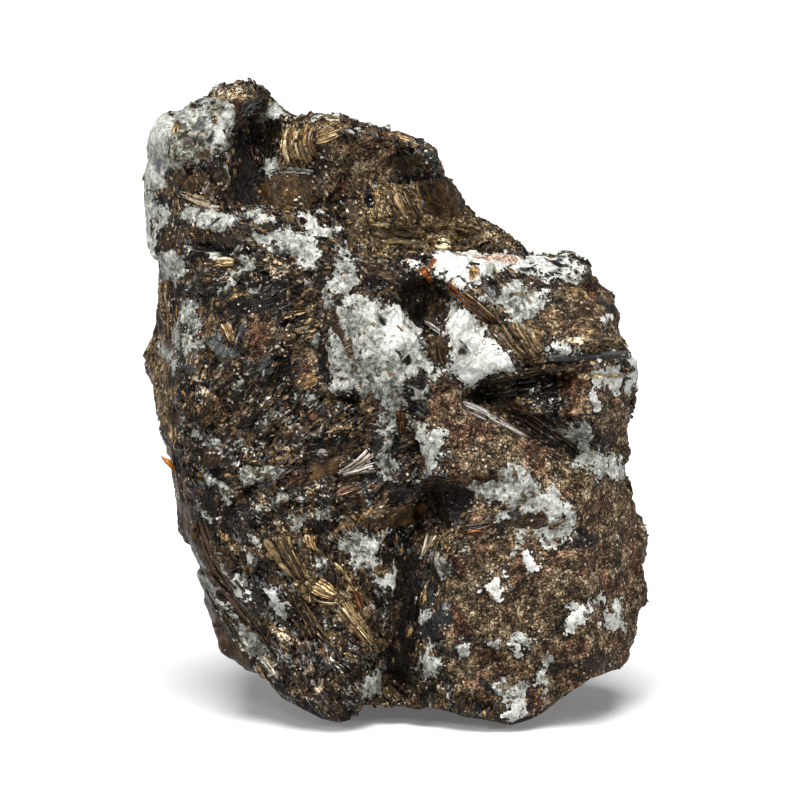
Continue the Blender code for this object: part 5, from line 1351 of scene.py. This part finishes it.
scatter("blade_chips", 2400, on_blades, ((0.5, 1.8), (0.2, 0.6), (0.1, 0.26)), 0.1, CHIP_TONES, 51,
        "broken blade", 0.3, 0.28, 0.7, 0.4)
scatter("sugar_crumbs", 3600, on_sugar, ((0.25, 0.55), (0.15, 0.35), (0.12, 0.26)), 0.3, CRUMB_TONES, 52,
        "brown grain", 0.0, 0.45, 0.7, 0.4)


# ---- Floor and light -------------------------------------------------------------------------------------------
# A white sheet under soft light from above and from both sides. The sheet is not part of the specimen.

FLOOR_HALF = 1.2
SHEET_PAINTED_GLOW = 0.12  # the sheet glows for the camera only: painted light that keeps every shadow on it shallow
SHEET_BOUNCE = 0.49  # how much of the light the sheet gives back to the specimen
AIR_LIGHT = (0.07, 0.07, 0.072, 1.0)
BLACK, WHITE = (0.0, 0.0, 0.0, 1.0), (1.0, 1.0, 1.0, 1.0)
LAMP_AIM = Vector((0.0, 0.0, 0.05))

sheet = bpy.data.meshes.new("white_sheet")
corners = [(x * FLOOR_HALF, y * FLOOR_HALF, 0.0) for x, y in ((-1, -1), (1, -1), (1, 1), (-1, 1))]
sheet.from_pydata(corners, [], [(0, 1, 2, 3)])
floor = bpy.data.objects.new("white_sheet", sheet)
link_object(floor)
white_paper, tree, shader, place = new_material("white paper")
seen_by_camera = node("LightPath", tree=tree, out="Is Camera Ray")
paper = tones(speckle(place, 0.6), (0.3, 250, 250, 250), (0.7, 255, 255, 255))
fill(shader, Base_Color=over(seen_by_camera, (SHEET_BOUNCE, SHEET_BOUNCE, SHEET_BOUNCE, 1.0), paper),
     Emission_Color=over(seen_by_camera, BLACK, WHITE), Emission_Strength=SHEET_PAINTED_GLOW, Roughness=0.9,
     Specular_IOR_Level=0.0)
sheet.materials.append(white_paper)


def lamp(name, kind, place, toward, **settings):
    """A lamp at a place that shines toward another place."""
    made = bpy.data.lights.new(name, kind)
    for setting, value in settings.items():
        setattr(made, setting, value)
    holder = bpy.data.objects.new(name, made)
    holder.location = place
    holder.rotation_euler = (toward - holder.location).to_track_quat("-Z", "Y").to_euler()
    link_object(holder)


lamp("overhead", "SUN", (-0.04, -0.36, 1.0), Vector(), angle=math.radians(40.0), energy=3.7)
lamp("left fill", "AREA", (-0.55, -0.30, 0.30), LAMP_AIM, shape="DISK", size=0.16, energy=0.9)
lamp("right fill", "AREA", (0.55, -0.35, 0.25), LAMP_AIM, shape="DISK", size=0.16, energy=0.8)
lamp("front sparkle", "AREA", (-0.12, -0.62, 0.42), LAMP_AIM, shape="DISK", size=0.12, energy=0.6)

world = bpy.data.worlds.new("studio")
world.use_nodes = True
bpy.context.scene.world = world
seen_by_camera = node("LightPath", tree=world.node_tree, out="Is Camera Ray")
fill(world.node_tree.nodes["Background"], Color=over(seen_by_camera, AIR_LIGHT, WHITE))
bpy.context.scene.view_settings.view_transform = "Standard"
